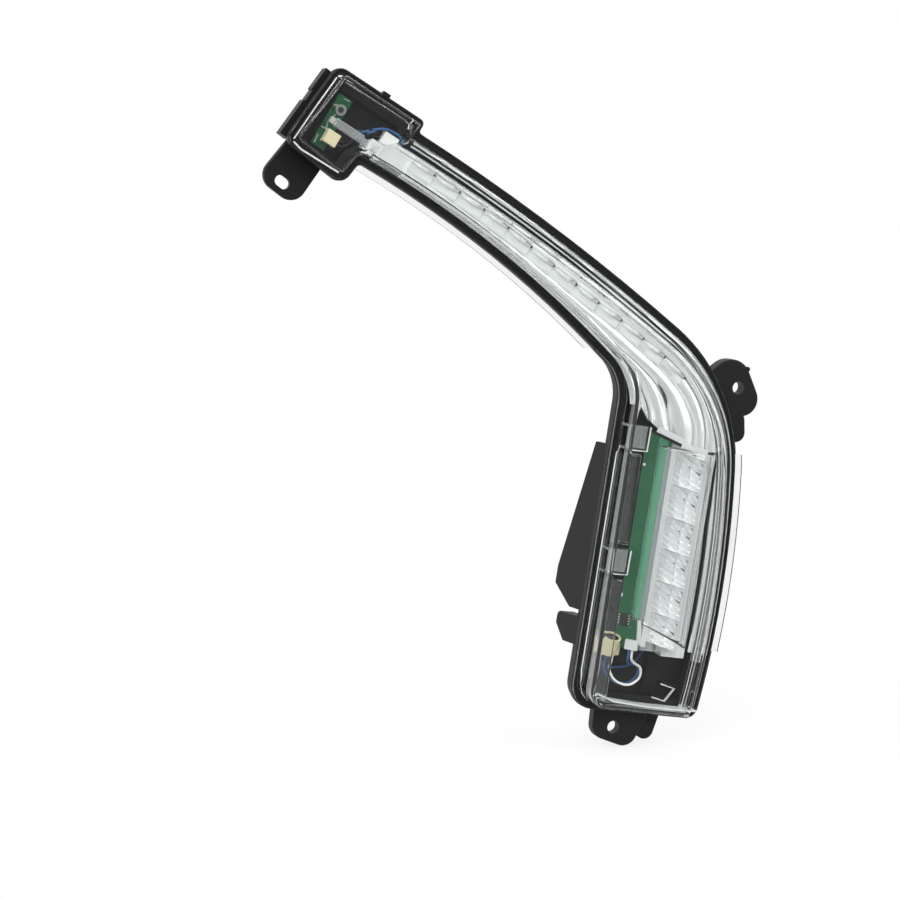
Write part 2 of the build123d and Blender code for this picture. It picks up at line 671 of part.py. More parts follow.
with BuildPart() as rear_housing:
    add(rounded_plate(lamp_face(0), flange_back, FLANGE_THICK, FLANGE_EDGE))
    extrude(placed(lamp_face(TRAY_INSET), SHELF_BACK), amount=FLANGE_FRONT - SHELF_BACK)
    extrude(placed(low_tray_face(LOW_TRAY_INSET), tray_back), amount=shelf_front - tray_back)
    for lobes in (ELBOW_EAR_LOBES, ELBOW_KNOB_LOBES):
        add(rounded_plate(lobed_face(elbow_ear, lobes), 0, EAR_THICK, EAR_EDGE))
    extrude(placed(disc(Vector(*EAR_NUB_PLACE), EAR_NUB), 0), amount=EAR_THICK)
    add(rounded_plate(lobed_face(lower_ear, LOWER_EAR_LOBES), 0, LOWER_EAR_THICK, EAR_EDGE))
    foot_lug = lobed_face(lower_ear, LUG_LOBES)
    add(rounded_plate(foot_lug, LUG_BACK, LUG_FRONT - LUG_BACK, EAR_EDGE))
    add(rounded_plate(lobed_face(upper_ear, UPPER_EAR_LOBES), 0, UPPER_EAR_THICK, EAR_EDGE))
    rim_ends = (RIM_LUGS[0][0], RIM_LUGS[-1][1])
    rim_rib = rib_face([head_left + head_down * end for end in rim_ends], RIM_RIB)
    extrude(placed(rim_rib, RIM_LUG_BACK), amount=RIM_LUG_FRONT - RIM_LUG_BACK)
    for lug_ends in RIM_LUGS:
        lug = rib_face([head_left + head_down * end for end in lug_ends], RIM_LUG)
        extrude(placed(lug, RIM_LUG_BACK), amount=RIM_LUG_FRONT - RIM_LUG_BACK)
    top_lug = rib_face([head_at(TOP_LUG_LEFT, HEAD_STEP), head_at(TOP_LUG_RIGHT, HEAD_STEP)], TOP_LUG_WIDTH)
    extrude(placed(top_lug, flange_back), amount=FLANGE_THICK)
    extrude(fin_face.sketch, amount=FIN_THICK)
    extrude(peg_face.sketch, amount=PEG_THICK)
    for rib_v in (SOCKET_V - SOCKET_HEIGHT, SOCKET_V + SOCKET_HEIGHT, SOCKET_V + 3 * SOCKET_HEIGHT):
        rib = leg_pad(low_cavity_inset, LEG_WIDTH - low_cavity_inset, rib_v, rib_v + BACK_RIB_WIDTH)
        extrude(placed(rib, tray_back), amount=-BACK_RIB)
    arm_rib = strip_face(GUIDE_INSET + guide_width / 2, BACK_RIB_WIDTH)
    extrude(placed(arm_rib, tray_back), amount=-BACK_RIB)
    shroud = leg_pad(socket_left, socket_left + SOCKET_WIDTH, socket_low, socket_low + SOCKET_HEIGHT)
    extrude(placed(shroud, tray_back), amount=-SOCKET_DEPTH)
    extrude(placed(lamp_face(cavity_inset), shelf_front), amount=TRAY_DEPTH, mode=Mode.SUBTRACT)
    extrude(placed(low_tray_face(low_cavity_inset), floor_front), amount=TRAY_DEPTH, mode=Mode.SUBTRACT)
    mouth = leg_pad(
        socket_left + SOCKET_WALL,
        socket_left + SOCKET_WIDTH - SOCKET_WALL,
        socket_low + SOCKET_WALL,
        socket_low + SOCKET_HEIGHT - SOCKET_WALL,
    )
    extrude(placed(mouth, tray_back), amount=-SOCKET_DEPTH, mode=Mode.SUBTRACT)
    groove = ring_face(GROOVE_INSET, GROOVE_WIDTH)
    extrude(placed(groove, FLANGE_FRONT), amount=-GROOVE_DEPTH, mode=Mode.SUBTRACT)
    add(board_posts.part)
    divider = rib_face([leg_at(*point) for point in DIVIDER], RIB_WIDTH)
    extrude(placed(divider, floor_front), amount=DIVIDER_RISE)
    catch = rib_face([leg_at(*point) for point in CATCH], RIB_WIDTH)
    extrude(placed(catch, floor_front), amount=CATCH_RISE)
    for along in ARM_POST_ALONG:
        arm_post = disc(arm_at(along, ARM_POST_INSET), ARM_POST_RADIUS)
        extrude(placed(arm_post, floor_front), amount=reflector_back - floor_front)
    for place, seat, clamped in screw_places:
        extrude(placed(disc(place, BOSS_RADIUS), floor_front), amount=seat - floor_front)
        screw_hole = disc(place, SCREW_RADIUS)
        extrude(placed(screw_hole, seat), amount=clamped - SCREW_LENGTH, mode=Mode.SUBTRACT)
    head_post = head_pad(
        HEAD_BOARD_LEFT + HEAD_POST_INSET,
        HEAD_BOARD_LEFT + HEAD_BOARD_WIDTH - HEAD_POST_INSET,
        HEAD_BOARD_LOW,
        HEAD_BOARD_LOW + HEAD_POST_LENGTH,
    )
    extrude(placed(head_post, floor_front), amount=HEAD_BOARD_BACK - floor_front)
    neck_post_middle = GUIDE_NECK_LEFT + NECK_POST_INSET + HEAD_POST_LENGTH / 2
    neck_post = head_spot(neck_post_middle, TAIL_Y, HEAD_POST_LENGTH, TAIL_WIDTH)
    extrude(placed(neck_post, floor_front), amount=REFLECTOR_FRONT - floor_front)
    inline_post = head_spot(INLINE_X, INLINE_Y, INLINE_LENGTH / 2, INLINE_WIDTH / 2)
    extrude(placed(inline_post, floor_front), amount=INLINE_BACK - floor_front)
    for pad_v in (cell_middles[0], cell_middles[-1]):
        cell_pad = leg_pad(CELL_PAD_LEFT, CELL_PAD_RIGHT, pad_v, pad_v + CELL_PAD_LENGTH)
        extrude(placed(cell_pad, floor_front), amount=CELL_BACK - floor_front)
    for pin_u in pin_places:
        pin_hole = leg_spot(pin_u, SOCKET_V, PIN_WIDTH, PIN_THICK)
        extrude(placed(pin_hole, floor_front), amount=-WALL, mode=Mode.SUBTRACT)
    extrude(placed(disc(vent_middle, VENT_STEM), floor_front), amount=-WALL, mode=Mode.SUBTRACT)
    extrude(placed(disc(elbow_ear, EAR_HOLE / 2), 0), amount=EAR_THICK, mode=Mode.SUBTRACT)
    extrude(placed(disc(lower_ear, EAR_HOLE / 2), 0), amount=LOWER_EAR_THICK, mode=Mode.SUBTRACT)
    with BuildSketch() as slot:
        with Locations(Location(upper_ear, (0, 0, -HEAD_TILT - HEAD_LEAN))):
            SlotOverall(SLOT_LENGTH, SLOT_WIDTH)
    extrude(placed(slot.sketch, 0), amount=UPPER_EAR_THICK, mode=Mode.SUBTRACT)
finish(rear_housing.part, "rear_housing")

# Sealant bead at the bottom of the flange groove
with BuildPart() as lens_sealant:
    extrude(placed(groove, FLANGE_FRONT - GROOVE_DEPTH), amount=GROOVE_DEPTH - TONGUE_DEPTH)
finish(lens_sealant.part, "lens_sealant")

# Outer lens: flange with tongue and skirts, low shoulder, high ridge and head box, hollowed from behind
def past_head(block, inset):
    """A lens block without its part inside the head, the head being set in by an amount."""
    with BuildPart() as kept:
        add(block)
        extrude(placed(head_face(inset), FLANGE_FRONT), amount=lens_reach, mode=Mode.SUBTRACT)
    return kept.part


shoulder_front = Plane.XZ.offset(FLANGE_FRONT + SHOULDER_RISE)
shoulder_face = band_face(LENS_OUTER_INSET, LENS_INSET, LENS_INSET, TOE_RADIUS - LENS_INSET)
ridge_face = band_face(ridge_inset, LENS_INSET, LENS_INSET)
ridge_cavity = band_face(ridge_inset + LENS_WALL, lens_inside, lens_inside)
shoulder_cavity = band_face(lens_outer_inside, lens_inside, lens_inside)
shoulder_back = shoulder_front.offset(-LENS_WALL)
tongue_width = GROOVE_WIDTH - 2 * TONGUE_GAP

with BuildSketch() as leg_skirt:
    add(band_face(-LEG_SKIRT, LENS_EDGE_GAP, LENS_EDGE_GAP))
    add(leg_pad(LEG_WIDTH / 2, 2 * LEG_WIDTH, SKIRT_LOW, SKIRT_HIGH), mode=Mode.INTERSECT)

with BuildSketch() as arm_skirt:
    add(band_face(LENS_EDGE_GAP, -ARM_SKIRT, LENS_EDGE_GAP))
    add(leg_pad(-4 * LEG_WIDTH, LEG_WIDTH, ARM_SKIRT_LOW, 3 * ARM_SKIRT_LOW), mode=Mode.INTERSECT)

with BuildPart() as outer_lens:
    extrude(placed(lamp_face(LENS_EDGE_GAP), FLANGE_FRONT), amount=LENS_FLANGE)
    extrude(placed(leg_skirt.sketch, FLANGE_FRONT), amount=LENS_FLANGE)
    extrude(placed(arm_skirt.sketch, FLANGE_FRONT), amount=LENS_FLANGE)
    extrude(placed(ring_face(GROOVE_INSET + TONGUE_GAP, tongue_width), FLANGE_FRONT), amount=-TONGUE_DEPTH)
    add(past_head(lens_block(shoulder_face, shoulder_front, LENS_EDGE), lens_inside))
    add(past_head(lens_block(ridge_face, lens_front, LENS_EDGE), lens_inside))
    add(lens_block(head_face(LENS_INSET), head_front, HEAD_LENS_EDGE))
    add(lens_block(shoulder_cavity, shoulder_back, 0), mode=Mode.SUBTRACT)
    ridge_hollow = lens_block(ridge_cavity, lens_front.offset(-LENS_WALL), 0)
    add(past_head(ridge_hollow, LENS_INSET), mode=Mode.SUBTRACT)
    add(lens_block(head_face(lens_inside), head_front.offset(-LENS_WALL), 0), mode=Mode.SUBTRACT)
    for pocket_v in POCKET_V:
        low = pocket_v - POCKET_HEIGHT / 2
        high = pocket_v + POCKET_HEIGHT / 2
        pocket = leg_pad(POCKET_LEFT, POCKET_RIGHT, low, high)
        extrude(placed(pocket, FLANGE_FRONT), amount=POCKET_RISE)
        inside = leg_pad(lens_inside, POCKET_RIGHT - POCKET_WALL, low + POCKET_WALL, high - POCKET_WALL)
        extrude(placed(inside, FLANGE_FRONT), amount=POCKET_RISE - POCKET_WALL, mode=Mode.SUBTRACT)
finish(outer_lens.part, "outer_lens")

# Arm reflector: bright plate under the guide, with smooth channels round the inside of the elbow
with BuildSketch() as reflector_plan:
    add(band_face(REFLECTOR_OUTER, REFLECTOR_INNER, REFLECTOR_INNER))
    add(leg_pad(-LEG_WIDTH, 2 * LEG_WIDTH, -LEG_WIDTH, REFLECTOR_END), mode=Mode.SUBTRACT)
    add(leg_pad(-LEG_WIDTH, REFLECTOR_TAB, -LEG_WIDTH, channel_end), mode=Mode.SUBTRACT)
    add(head_pad(-2 * HEAD_TOP, REFLECTOR_START, -2 * HEAD_SIDE, HEAD_SIDE), mode=Mode.SUBTRACT)


def channel(inset, rise):
    """Raised rounded channel that follows the inner edge, fading out where the arm narrows."""
    with BuildSketch() as plan:
        add(band_face(-ARM_ROOT_WIDTH, inset, 0))
        add(band_face(-ARM_ROOT_WIDTH, inset + CHANNEL_WIDTH, 0), mode=Mode.SUBTRACT)
        add(strip_face(-LEG_WIDTH, LEG_WIDTH + channel_limit), mode=Mode.SUBTRACT)
        add(leg_pad(-LEG_WIDTH, 2 * LEG_WIDTH, -LEG_WIDTH, channel_end), mode=Mode.SUBTRACT)
        neck_end = GUIDE_NECK_RIGHT + GUIDE_FIT
        add(head_pad(-2 * HEAD_TOP, neck_end, -2 * HEAD_SIDE, HEAD_SIDE), mode=Mode.SUBTRACT)
    with BuildPart() as raised:
        extrude(placed(plan.sketch, REFLECTOR_FRONT), amount=rise)
    return raised.part


with BuildPart() as arm_reflector:
    extrude(placed(reflector_plan.sketch, reflector_back), amount=REFLECTOR_THICK)
    for channel_inset, channel_rise in zip(CHANNEL_INSETS, CHANNEL_RISES):
        add(channel(channel_inset, channel_rise))
    tab_hole = disc(leg_at(*ELBOW_SCREW), SCREW_RADIUS + SCREW_FIT)
    extrude(placed(tab_hole, reflector_back), amount=REFLECTOR_THICK, mode=Mode.SUBTRACT)
finish(arm_reflector.part, "arm_reflector")

# Light guide: tail bar, neck and stepped bar along the arm
with BuildSketch() as guide_plan:
    add(strip_face(GUIDE_INSET, guide_width))
    add(leg_pad(-LEG_WIDTH, 2 * LEG_WIDTH, -LEG_WIDTH, GUIDE_END), mode=Mode.SUBTRACT)
    neck_low = TAIL_Y - GUIDE_NECK_WIDTH / 2
    add(head_pad(GUIDE_NECK_LEFT, GUIDE_NECK_RIGHT, neck_low, neck_low + GUIDE_NECK_WIDTH))

with BuildPart() as light_guide:
    extrude(placed(guide_plan.sketch, REFLECTOR_FRONT), amount=GUIDE_THICK)
    tail = head_pad(TAIL_LEFT, GUIDE_NECK_LEFT, TAIL_Y - TAIL_WIDTH / 2, TAIL_Y + TAIL_WIDTH / 2)
    extrude(placed(tail, REFLECTOR_FRONT), amount=TAIL_THICK)
    guide_lug = head_spot(GUIDE_LUG_X, GUIDE_LUG_Y, GUIDE_LUG, GUIDE_LUG)
    extrude(placed(guide_lug, REFLECTOR_FRONT + GUIDE_THICK), amount=GUIDE_LUG / 2)
    for index in range(FACET_COUNT):
        start = FACET_START + index * FACET_PITCH
        outward = heading(arm_start + ARM_TURN - degrees(start / ARM_RADIUS))
        middle = lifted(arm_at(start, GUIDE_INSET + guide_width / 2), REFLECTOR_FRONT + GUIDE_THICK)
        facet_plane = Plane(middle, x_dir=(outward.Y, 0, -outward.X), z_dir=(outward.X, 0, outward.Y))
        with BuildSketch(facet_plane):
            with BuildLine():
                Polyline((0, 0), (FACET_LENGTH, -FACET_RISE), (FACET_LENGTH, 0), close=True)
            make_face()
        extrude(amount=guide_width / 2 - GUIDE_FIT, both=True)
finish(light_guide.part, "light_guide")

# Leg reflector: six bright bowls in a row on a base plate
with BuildSketch() as outside_cover:
    add(strip_face(-LEG_WIDTH, LEG_WIDTH + COVER_INSET))

with BuildSketch() as outside_cells:
    add(strip_face(-LEG_WIDTH, LEG_WIDTH + CELL_BLOCK_INSET))

with BuildSketch() as outside_hollow:
    add(strip_face(-LEG_WIDTH, LEG_WIDTH + CELL_BLOCK_INSET + CELL_WALL))


def cell_plan(left, low, high, outside):
    """Leg rectangle whose right edge follows the lamp's outer edge."""
    with BuildSketch() as plan:
        add(leg_pad(left, 1.5 * LEG_WIDTH, low, high))
        add(outside, mode=Mode.SUBTRACT)
    return plan.sketch


def cell_spheres(radius):
    """Balls of the bowls, for cutting."""
    with BuildPart() as balls:
        for cell_v in cell_middles:
            with Locations(Location(lifted(leg_at(CELL_SPHERE_U, cell_v), CELL_SPHERE_FRONT))):
                Sphere(radius)
    return balls.part


hollow_low = CELL_LOW - CELL_RIM + CELL_WALL
hollow_high = cell_high + CELL_RIM - CELL_WALL
with BuildPart() as bowl_backs:
    hollow = cell_plan(CELL_LEFT + CELL_WALL, hollow_low, hollow_high, outside_hollow.sketch)
    extrude(placed(hollow, CELL_BACK), amount=CELL_FRONT - CELL_WALL - CELL_BACK)
    add(cell_spheres(CELL_SPHERE + CELL_WALL), mode=Mode.SUBTRACT)

with BuildPart() as leg_reflector:
    base = cell_plan(COVER_STEP, COVER_FOOT, COVER_HIGH, outside_cover.sketch)
    extrude(placed(base, CELL_BACK), amount=CELL_BASE)
    block = cell_plan(CELL_LEFT, CELL_LOW - CELL_RIM, cell_high + CELL_RIM, outside_cells.sketch)
    extrude(placed(block, cell_base_front), amount=CELL_FRONT - cell_base_front)
    add(cell_spheres(CELL_SPHERE), mode=Mode.SUBTRACT)
    add(bowl_backs.part, mode=Mode.SUBTRACT)
finish(leg_reflector.part, "leg_reflector")

# Inner lens: clear cover over the bowls, its left wall standing on the board
with BuildSketch() as cover_plan:
    add(cell_plan(COVER_STEP, COVER_FOOT, COVER_HIGH, outside_cover.sketch))
    add(leg_pad(COVER_LEFT, COVER_STEP, COVER_LOW, COVER_HIGH))

with BuildSketch() as cover_inside:
    add(cover_plan.sketch)
    offset(amount=-COVER_WALL, kind=Kind.INTERSECTION)

with BuildSketch(board_plane) as behind_board:
    with Locations((BOARD_WIDTH / 2, BOARD_LENGTH / 2)):
        Rectangle(BOARD_WIDTH + COVER_WALL, 2 * BOARD_LENGTH)

with BuildPart() as inner_lens:
    extrude(placed(cover_plan.sketch, cell_base_front), amount=COVER_FRONT - cell_base_front)
    cover_corner = lifted(leg_at(LEG_WIDTH, COVER_FOOT), 0)
    fillet(inner_lens.edges().filter_by(Axis.Y).sort_by_distance(cover_corner)[0], COVER_CORNER)
    fillet(inner_lens.faces().sort_by(Axis.Y)[0].edges(), COVER_EDGE)
    hollow_depth = COVER_FRONT - COVER_WALL - cell_base_front
    extrude(placed(cover_inside.sketch, cell_base_front), amount=hollow_depth, mode=Mode.SUBTRACT)
    extrude(behind_board.sketch, amount=-COVER_FRONT, mode=Mode.SUBTRACT)
finish(inner_lens.part, "inner_lens")

# Leg board and what it carries
def on_board(plane, middle_s, middle_t, width, length):
    """Rectangle on a face of the leg board: s across it, t up from its foot."""
    with BuildSketch(plane) as spot:
        with Locations((middle_s, middle_t)):
            Rectangle(width, length)
    return spot.sketch


with BuildPart() as leg_circuit_board:
    board_face = on_board(board_plane, BOARD_WIDTH / 2, BOARD_LENGTH / 2, BOARD_WIDTH, BOARD_LENGTH)
    extrude(board_face, amount=-BOARD_THICK)
finish(leg_circuit_board.part, "leg_circuit_board")

with BuildPart() as leg_leds:
    for cell_v in cell_middles:
        extrude(on_board(board_back, LED_S, cell_v - BOARD_LOW, LED_SIZE, LED_SIZE), amount=-LED_THICK)
finish(leg_leds.part, "leg_leds")

with BuildPart() as leg_driver_chip:
    extrude(on_board(board_plane, CHIP_S, CHIP_T, CHIP_WIDTH, CHIP_LENGTH), amount=CHIP_THICK)
finish(leg_driver_chip.part, "leg_driver_chip")

with BuildPart() as driver_chip_leads:
    for side in (-1, 1):
        for index in range(LEADS_PER_SIDE):
            lead_s = CHIP_S + side * (CHIP_WIDTH + LEAD_LENGTH) / 2
            lead_t = CHIP_T + (index - (LEADS_PER_SIDE - 1) / 2) * LEAD_PITCH
            extrude(on_board(board_plane, lead_s, lead_t, LEAD_LENGTH, LEAD_WIDTH), amount=LEAD_THICK)
finish(driver_chip_leads.part, "driver_chip_leads")

with BuildPart() as leg_resistors:
    for resistor_t in RESISTOR_T:
        resistor = on_board(board_plane, RESISTOR_S, resistor_t, RESISTOR_LENGTH, RESISTOR_WIDTH)
        extrude(resistor, amount=RESISTOR_THICK)
finish(leg_resistors.part, "leg_resistors")

with BuildPart() as leg_header:
    header_pad = leg_pad(HEADER_RIGHT - HEADER_WIDTH, HEADER_RIGHT, HEADER_LOW, HEADER_LOW + HEADER_LENGTH)
    extrude(placed(header_pad, HEADER_BACK), amount=HEADER_FRONT - HEADER_BACK)
    mouth_end = leg_at(HEADER_RIGHT - HEADER_WIDTH / 2, HEADER_LOW + HEADER_LENGTH)
    with BuildSketch(Plane(lifted(mouth_end, (HEADER_BACK + HEADER_FRONT) / 2), z_dir=leg_up_axis)):
        Circle(HEADER_MOUTH)
    extrude(amount=-HEADER_MOUTH_DEPTH, mode=Mode.SUBTRACT)
    split(bisect_by=board_plane, keep=Keep.TOP)
finish(leg_header.part, "leg_header")

with BuildPart() as leg_plug:
    extrude(on_board(board_plane, PLUG_S, PLUG_LENGTH / 2, PLUG_WIDTH, PLUG_LENGTH), amount=PLUG_THICK)
finish(leg_plug.part, "leg_plug")

# Head board and what it carries
with BuildPart() as head_circuit_board:
    head_board = head_pad(
        HEAD_BOARD_LEFT,
        HEAD_BOARD_LEFT + HEAD_BOARD_WIDTH,
        HEAD_BOARD_LOW,
        HEAD_BOARD_LOW + HEAD_BOARD_LENGTH,
    )
    extrude(placed(head_board, HEAD_BOARD_BACK), amount=BOARD_THICK)
    board_hole = disc(head_at(*HEAD_SCREW), SCREW_RADIUS + SCREW_FIT)
    extrude(placed(board_hole, HEAD_BOARD_BACK), amount=BOARD_THICK, mode=Mode.SUBTRACT)
finish(head_circuit_board.part, "head_circuit_board")

with BuildPart() as guide_led:
    led_right = TAIL_LEFT - GUIDE_FIT
    led_pad = head_spot(led_right - GUIDE_LED_LENGTH / 2, TAIL_Y, GUIDE_LED_LENGTH, LED_SIZE)
    extrude(placed(led_pad, head_board_front), amount=GUIDE_LED_THICK)
finish(guide_led.part, "guide_led")

with BuildPart() as head_header:
    header_middle = HEAD_HEADER_LEFT + HEAD_HEADER_WIDTH / 2
    header_spot = head_spot(header_middle, HEAD_HEADER_Y, HEAD_HEADER_WIDTH, HEAD_HEADER_LENGTH)
    extrude(placed(header_spot, head_board_front), amount=HEAD_HEADER_THICK)
finish(head_header.part, "head_header")

with BuildPart() as inline_connector:
    inline_spot = head_spot(INLINE_X, INLINE_Y, INLINE_LENGTH, INLINE_WIDTH)
    extrude(placed(inline_spot, INLINE_BACK), amount=INLINE_THICK)
finish(inline_connector.part, "inline_connector")

# Retaining screws, one through the head board and one through the reflector's tab
with BuildPart() as retaining_screws:
    for place, seat, clamped in screw_places:
        extrude(placed(disc(place, SCREW_HEAD), seat + clamped), amount=SCREW_HEAD_THICK)
        extrude(placed(disc(place, SCREW_RADIUS), seat + clamped), amount=-SCREW_LENGTH)
        with BuildSketch() as drive:
            with Locations(Location(place)):
                Rectangle(SCREW_HEAD, SCREW_SLOT)
                Rectangle(SCREW_SLOT, SCREW_HEAD)
        slot_front = seat + clamped + SCREW_HEAD_THICK
        extrude(placed(drive.sketch, slot_front), amount=-SCREW_SLOT_DEPTH, mode=Mode.SUBTRACT)
finish(retaining_screws.part, "retaining_screws")

# Rear socket blades, the seal round the socket and the breather
with BuildPart() as connector_pins:
    for pin_u in pin_places:
        pin = leg_spot(pin_u, SOCKET_V, PIN_WIDTH, PIN_THICK)
        extrude(placed(pin, tray_back - PIN_REACH), amount=PIN_REACH + WALL + PIN_INNER)
finish(connector_pins.part, "connector_pins")

with BuildPart() as connector_seal:
    seal = leg_spot(socket_u, SOCKET_V, SOCKET_WIDTH + 2 * SEAL_WIDTH, SOCKET_HEIGHT + 2 * SEAL_WIDTH)
    extrude(placed(seal, tray_back), amount=-SEAL_THICK)
    extrude(placed(shroud, tray_back), amount=-SEAL_THICK, mode=Mode.SUBTRACT)
finish(connector_seal.part, "connector_seal")

with BuildPart() as vent_cap:
    extrude(placed(disc(vent_middle, VENT_RADIUS), tray_back), amount=-VENT_THICK)
    extrude(placed(disc(vent_middle, VENT_STEM), tray_back), amount=WALL)
finish(vent_cap.part, "vent_cap")

# Wires, through hand-chosen points: a flat place in the leg, arm, elbow or head and a height
def elbow_at(angle, inset):
    """Flat point in the elbow, by the angle about its centre and the distance inside the outer edge."""
    return elbow_centre + heading(angle) * (ELBOW_RADIUS - inset)


plug_end = board_plane.from_local_coords(Vector(PLUG_S, 0, PLUG_THICK / 2))
plug_side = leg_right_axis * JUMPER_SPACING
header_right = HEAD_HEADER_LEFT + HEAD_HEADER_WIDTH
pin_low = SOCKET_V - PIN_THICK / 2
pin_high = SOCKET_V + PIN_THICK / 2

white_points = [
    lifted(leg_at(19.6, HEADER_LOW), 12.0),
    lifted(leg_at(19.6, 27.0), 12.0),
    lifted(leg_at(19.6, 21.5), 9.5),
    lifted(leg_at(24.2, 15.4), 9.0),
    lifted(leg_at(32.6, 13.5), 9.0),
    lifted(leg_at(38.4, 18.2), 9.0),
    lifted(leg_at(37.4, 24.2), 10.5),
    lifted(leg_at(31.5, 26.6), 13.5),
    plug_end - leg_up_axis * 5.0 + plug_side,
    plug_end + plug_side,
]
finish(wire_solid(white_points), "white_jumper_wire")

blue_points = [
    lifted(leg_at(17.2, HEADER_LOW), 9.5),
    lifted(leg_at(17.2, 27.0), 9.5),
    lifted(leg_at(17.6, 21.0), 6.5),
    lifted(leg_at(23.4, 14.6), 6.0),
    lifted(leg_at(33.0, 13.9), 6.0),
    lifted(leg_at(38.2, 19.2), 6.0),
    lifted(leg_at(36.8, 24.8), 7.5),
    lifted(leg_at(29.0, 25.6), 11.5),
    plug_end - leg_up_axis * 5.0 - plug_side,
    plug_end - plug_side,
]
finish(wire_solid(blue_points), "blue_jumper_wire")

supply_points = [
    lifted(leg_at(14.6, HEADER_LOW), 9.0),
    lifted(leg_at(14.6, 26.5), 9.0),
    lifted(leg_at(19.5, 21.0), 3.0),
    lifted(leg_at(32.0, 22.0), 1.0),
    lifted(leg_at(40.0, 25.0), -3.0),
    lifted(leg_at(45.0, 34.0), wire_low),
    lifted(leg_at(44.0, 58.0), wire_low),
    lifted(leg_at(pin_places[0], 74.0), wire_low),
    lifted(leg_at(pin_places[0], pin_low), wire_low),
]
finish(wire_solid(supply_points), "blue_supply_wire")

head_points = [
    lifted(head_at(header_right, -26.6), 7.3),
    lifted(head_at(-29.0, -26.6), 7.3),
    lifted(head_at(-25.5, -22.0), 3.0),
    lifted(head_at(-24.0, -16.0), 3.0),
    lifted(head_at(-20.5, -11.0), 7.0),
    lifted(head_at(-14.5, -6.6), 9.5),
    lifted(head_at(-6.5, -6.2), 9.5),
    lifted(head_at(-2.6, -8.9), 7.0),
    lifted(head_at(-0.6, -11.8), -1.5),
    lifted(arm_at(14.0, 14.0), wire_low),
    lifted(arm_at(45.0, 14.5), wire_low),
    lifted(arm_at(85.0, 15.5), wire_low),
    lifted(arm_at(120.0, 17.0), wire_low),
    lifted(arm_at(155.0, 20.0), wire_low),
    lifted(elbow_at(40.0, 26.0), wire_low),
    lifted(elbow_at(22.0, 30.0), wire_low),
    lifted(elbow_at(5.0, 31.0), wire_low),
    lifted(leg_at(46.0, 112.0), wire_low),
    lifted(leg_at(pin_places[2], 98.0), wire_low),
    lifted(leg_at(pin_places[2], pin_high), wire_low),
]
finish(wire_solid(head_points), "blue_head_wire")

board_points = [
    lifted(head_at(header_right, -24.0), 7.3),
    lifted(head_at(-29.6, -24.0), 7.3),
    lifted(head_at(-26.8, -20.5), 1.5),
    lifted(head_at(-25.5, -15.0), 1.5),
    lifted(head_at(-20.0, -11.4), 4.5),
    lifted(head_at(-16.0, INLINE_Y), 5.5),
    lifted(head_at(INLINE_X - INLINE_LENGTH / 2, INLINE_Y), 5.5),
]
finish(wire_solid(board_points), "black_board_wire")

return_points = [
    lifted(head_at(INLINE_X + INLINE_LENGTH / 2, INLINE_Y), 5.5),
    lifted(head_at(-4.2, INLINE_Y), 5.5),
    lifted(head_at(-3.0, -15.2), -3.0),
    lifted(arm_at(16.0, 16.6), wire_low),
    lifted(arm_at(45.0, 17.0), wire_low),
    lifted(arm_at(85.0, 18.0), wire_low),
    lifted(arm_at(120.0, 19.6), wire_low),
    lifted(arm_at(155.0, 22.8), wire_low),
    lifted(elbow_at(40.0, 29.0), wire_low),
    lifted(elbow_at(22.0, 33.4), wire_low),
    lifted(elbow_at(5.0, 34.6), wire_low),
    lifted(leg_at(41.5, 108.0), wire_low),
    lifted(leg_at(pin_places[1], 96.0), wire_low),
    lifted(leg_at(pin_places[1], pin_high), wire_low),
]
finish(wire_solid(return_points), "black_return_wire")
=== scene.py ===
import math

import bpy
import numpy as np
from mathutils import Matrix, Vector


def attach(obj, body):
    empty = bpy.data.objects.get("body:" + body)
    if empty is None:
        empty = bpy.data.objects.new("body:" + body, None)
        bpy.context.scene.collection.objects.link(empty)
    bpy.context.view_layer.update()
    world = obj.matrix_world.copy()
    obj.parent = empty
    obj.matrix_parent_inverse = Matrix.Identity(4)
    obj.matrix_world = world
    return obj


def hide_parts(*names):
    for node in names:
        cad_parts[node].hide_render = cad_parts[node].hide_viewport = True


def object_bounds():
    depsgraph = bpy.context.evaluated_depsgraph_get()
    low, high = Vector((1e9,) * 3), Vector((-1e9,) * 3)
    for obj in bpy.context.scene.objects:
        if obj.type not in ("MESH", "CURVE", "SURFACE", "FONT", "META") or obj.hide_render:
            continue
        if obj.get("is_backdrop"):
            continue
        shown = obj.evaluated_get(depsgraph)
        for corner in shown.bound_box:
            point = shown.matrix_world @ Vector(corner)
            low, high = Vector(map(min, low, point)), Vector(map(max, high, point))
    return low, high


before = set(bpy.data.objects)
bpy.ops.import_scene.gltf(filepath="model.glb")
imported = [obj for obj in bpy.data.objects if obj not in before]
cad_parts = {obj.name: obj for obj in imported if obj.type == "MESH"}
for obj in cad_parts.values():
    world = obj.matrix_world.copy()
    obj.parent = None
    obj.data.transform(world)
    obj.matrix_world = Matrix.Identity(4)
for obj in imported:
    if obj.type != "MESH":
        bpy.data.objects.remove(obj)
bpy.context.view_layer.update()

bl_info = {
    "name": "Daytime running light",
    "version": (1, 0, 0),
    "blender": (4, 5, 0),
    "location": "View3D > Sidebar > Running light",
    "description": "Finishes and optics of a boomerang shaped daytime running light",
    "category": "Object",
}

MM = 0.001


# Helpers for colours, nodes and meshes


def linear(code):
    """Turn an sRGB hex colour into linear red, green, blue and alpha."""
    parts = [int(code[i : i + 2], 16) / 255 for i in (1, 3, 5)]
    return [c / 12.92 if c <= 0.04045 else ((c + 0.055) / 1.055) ** 2.4 for c in parts] + [1.0]


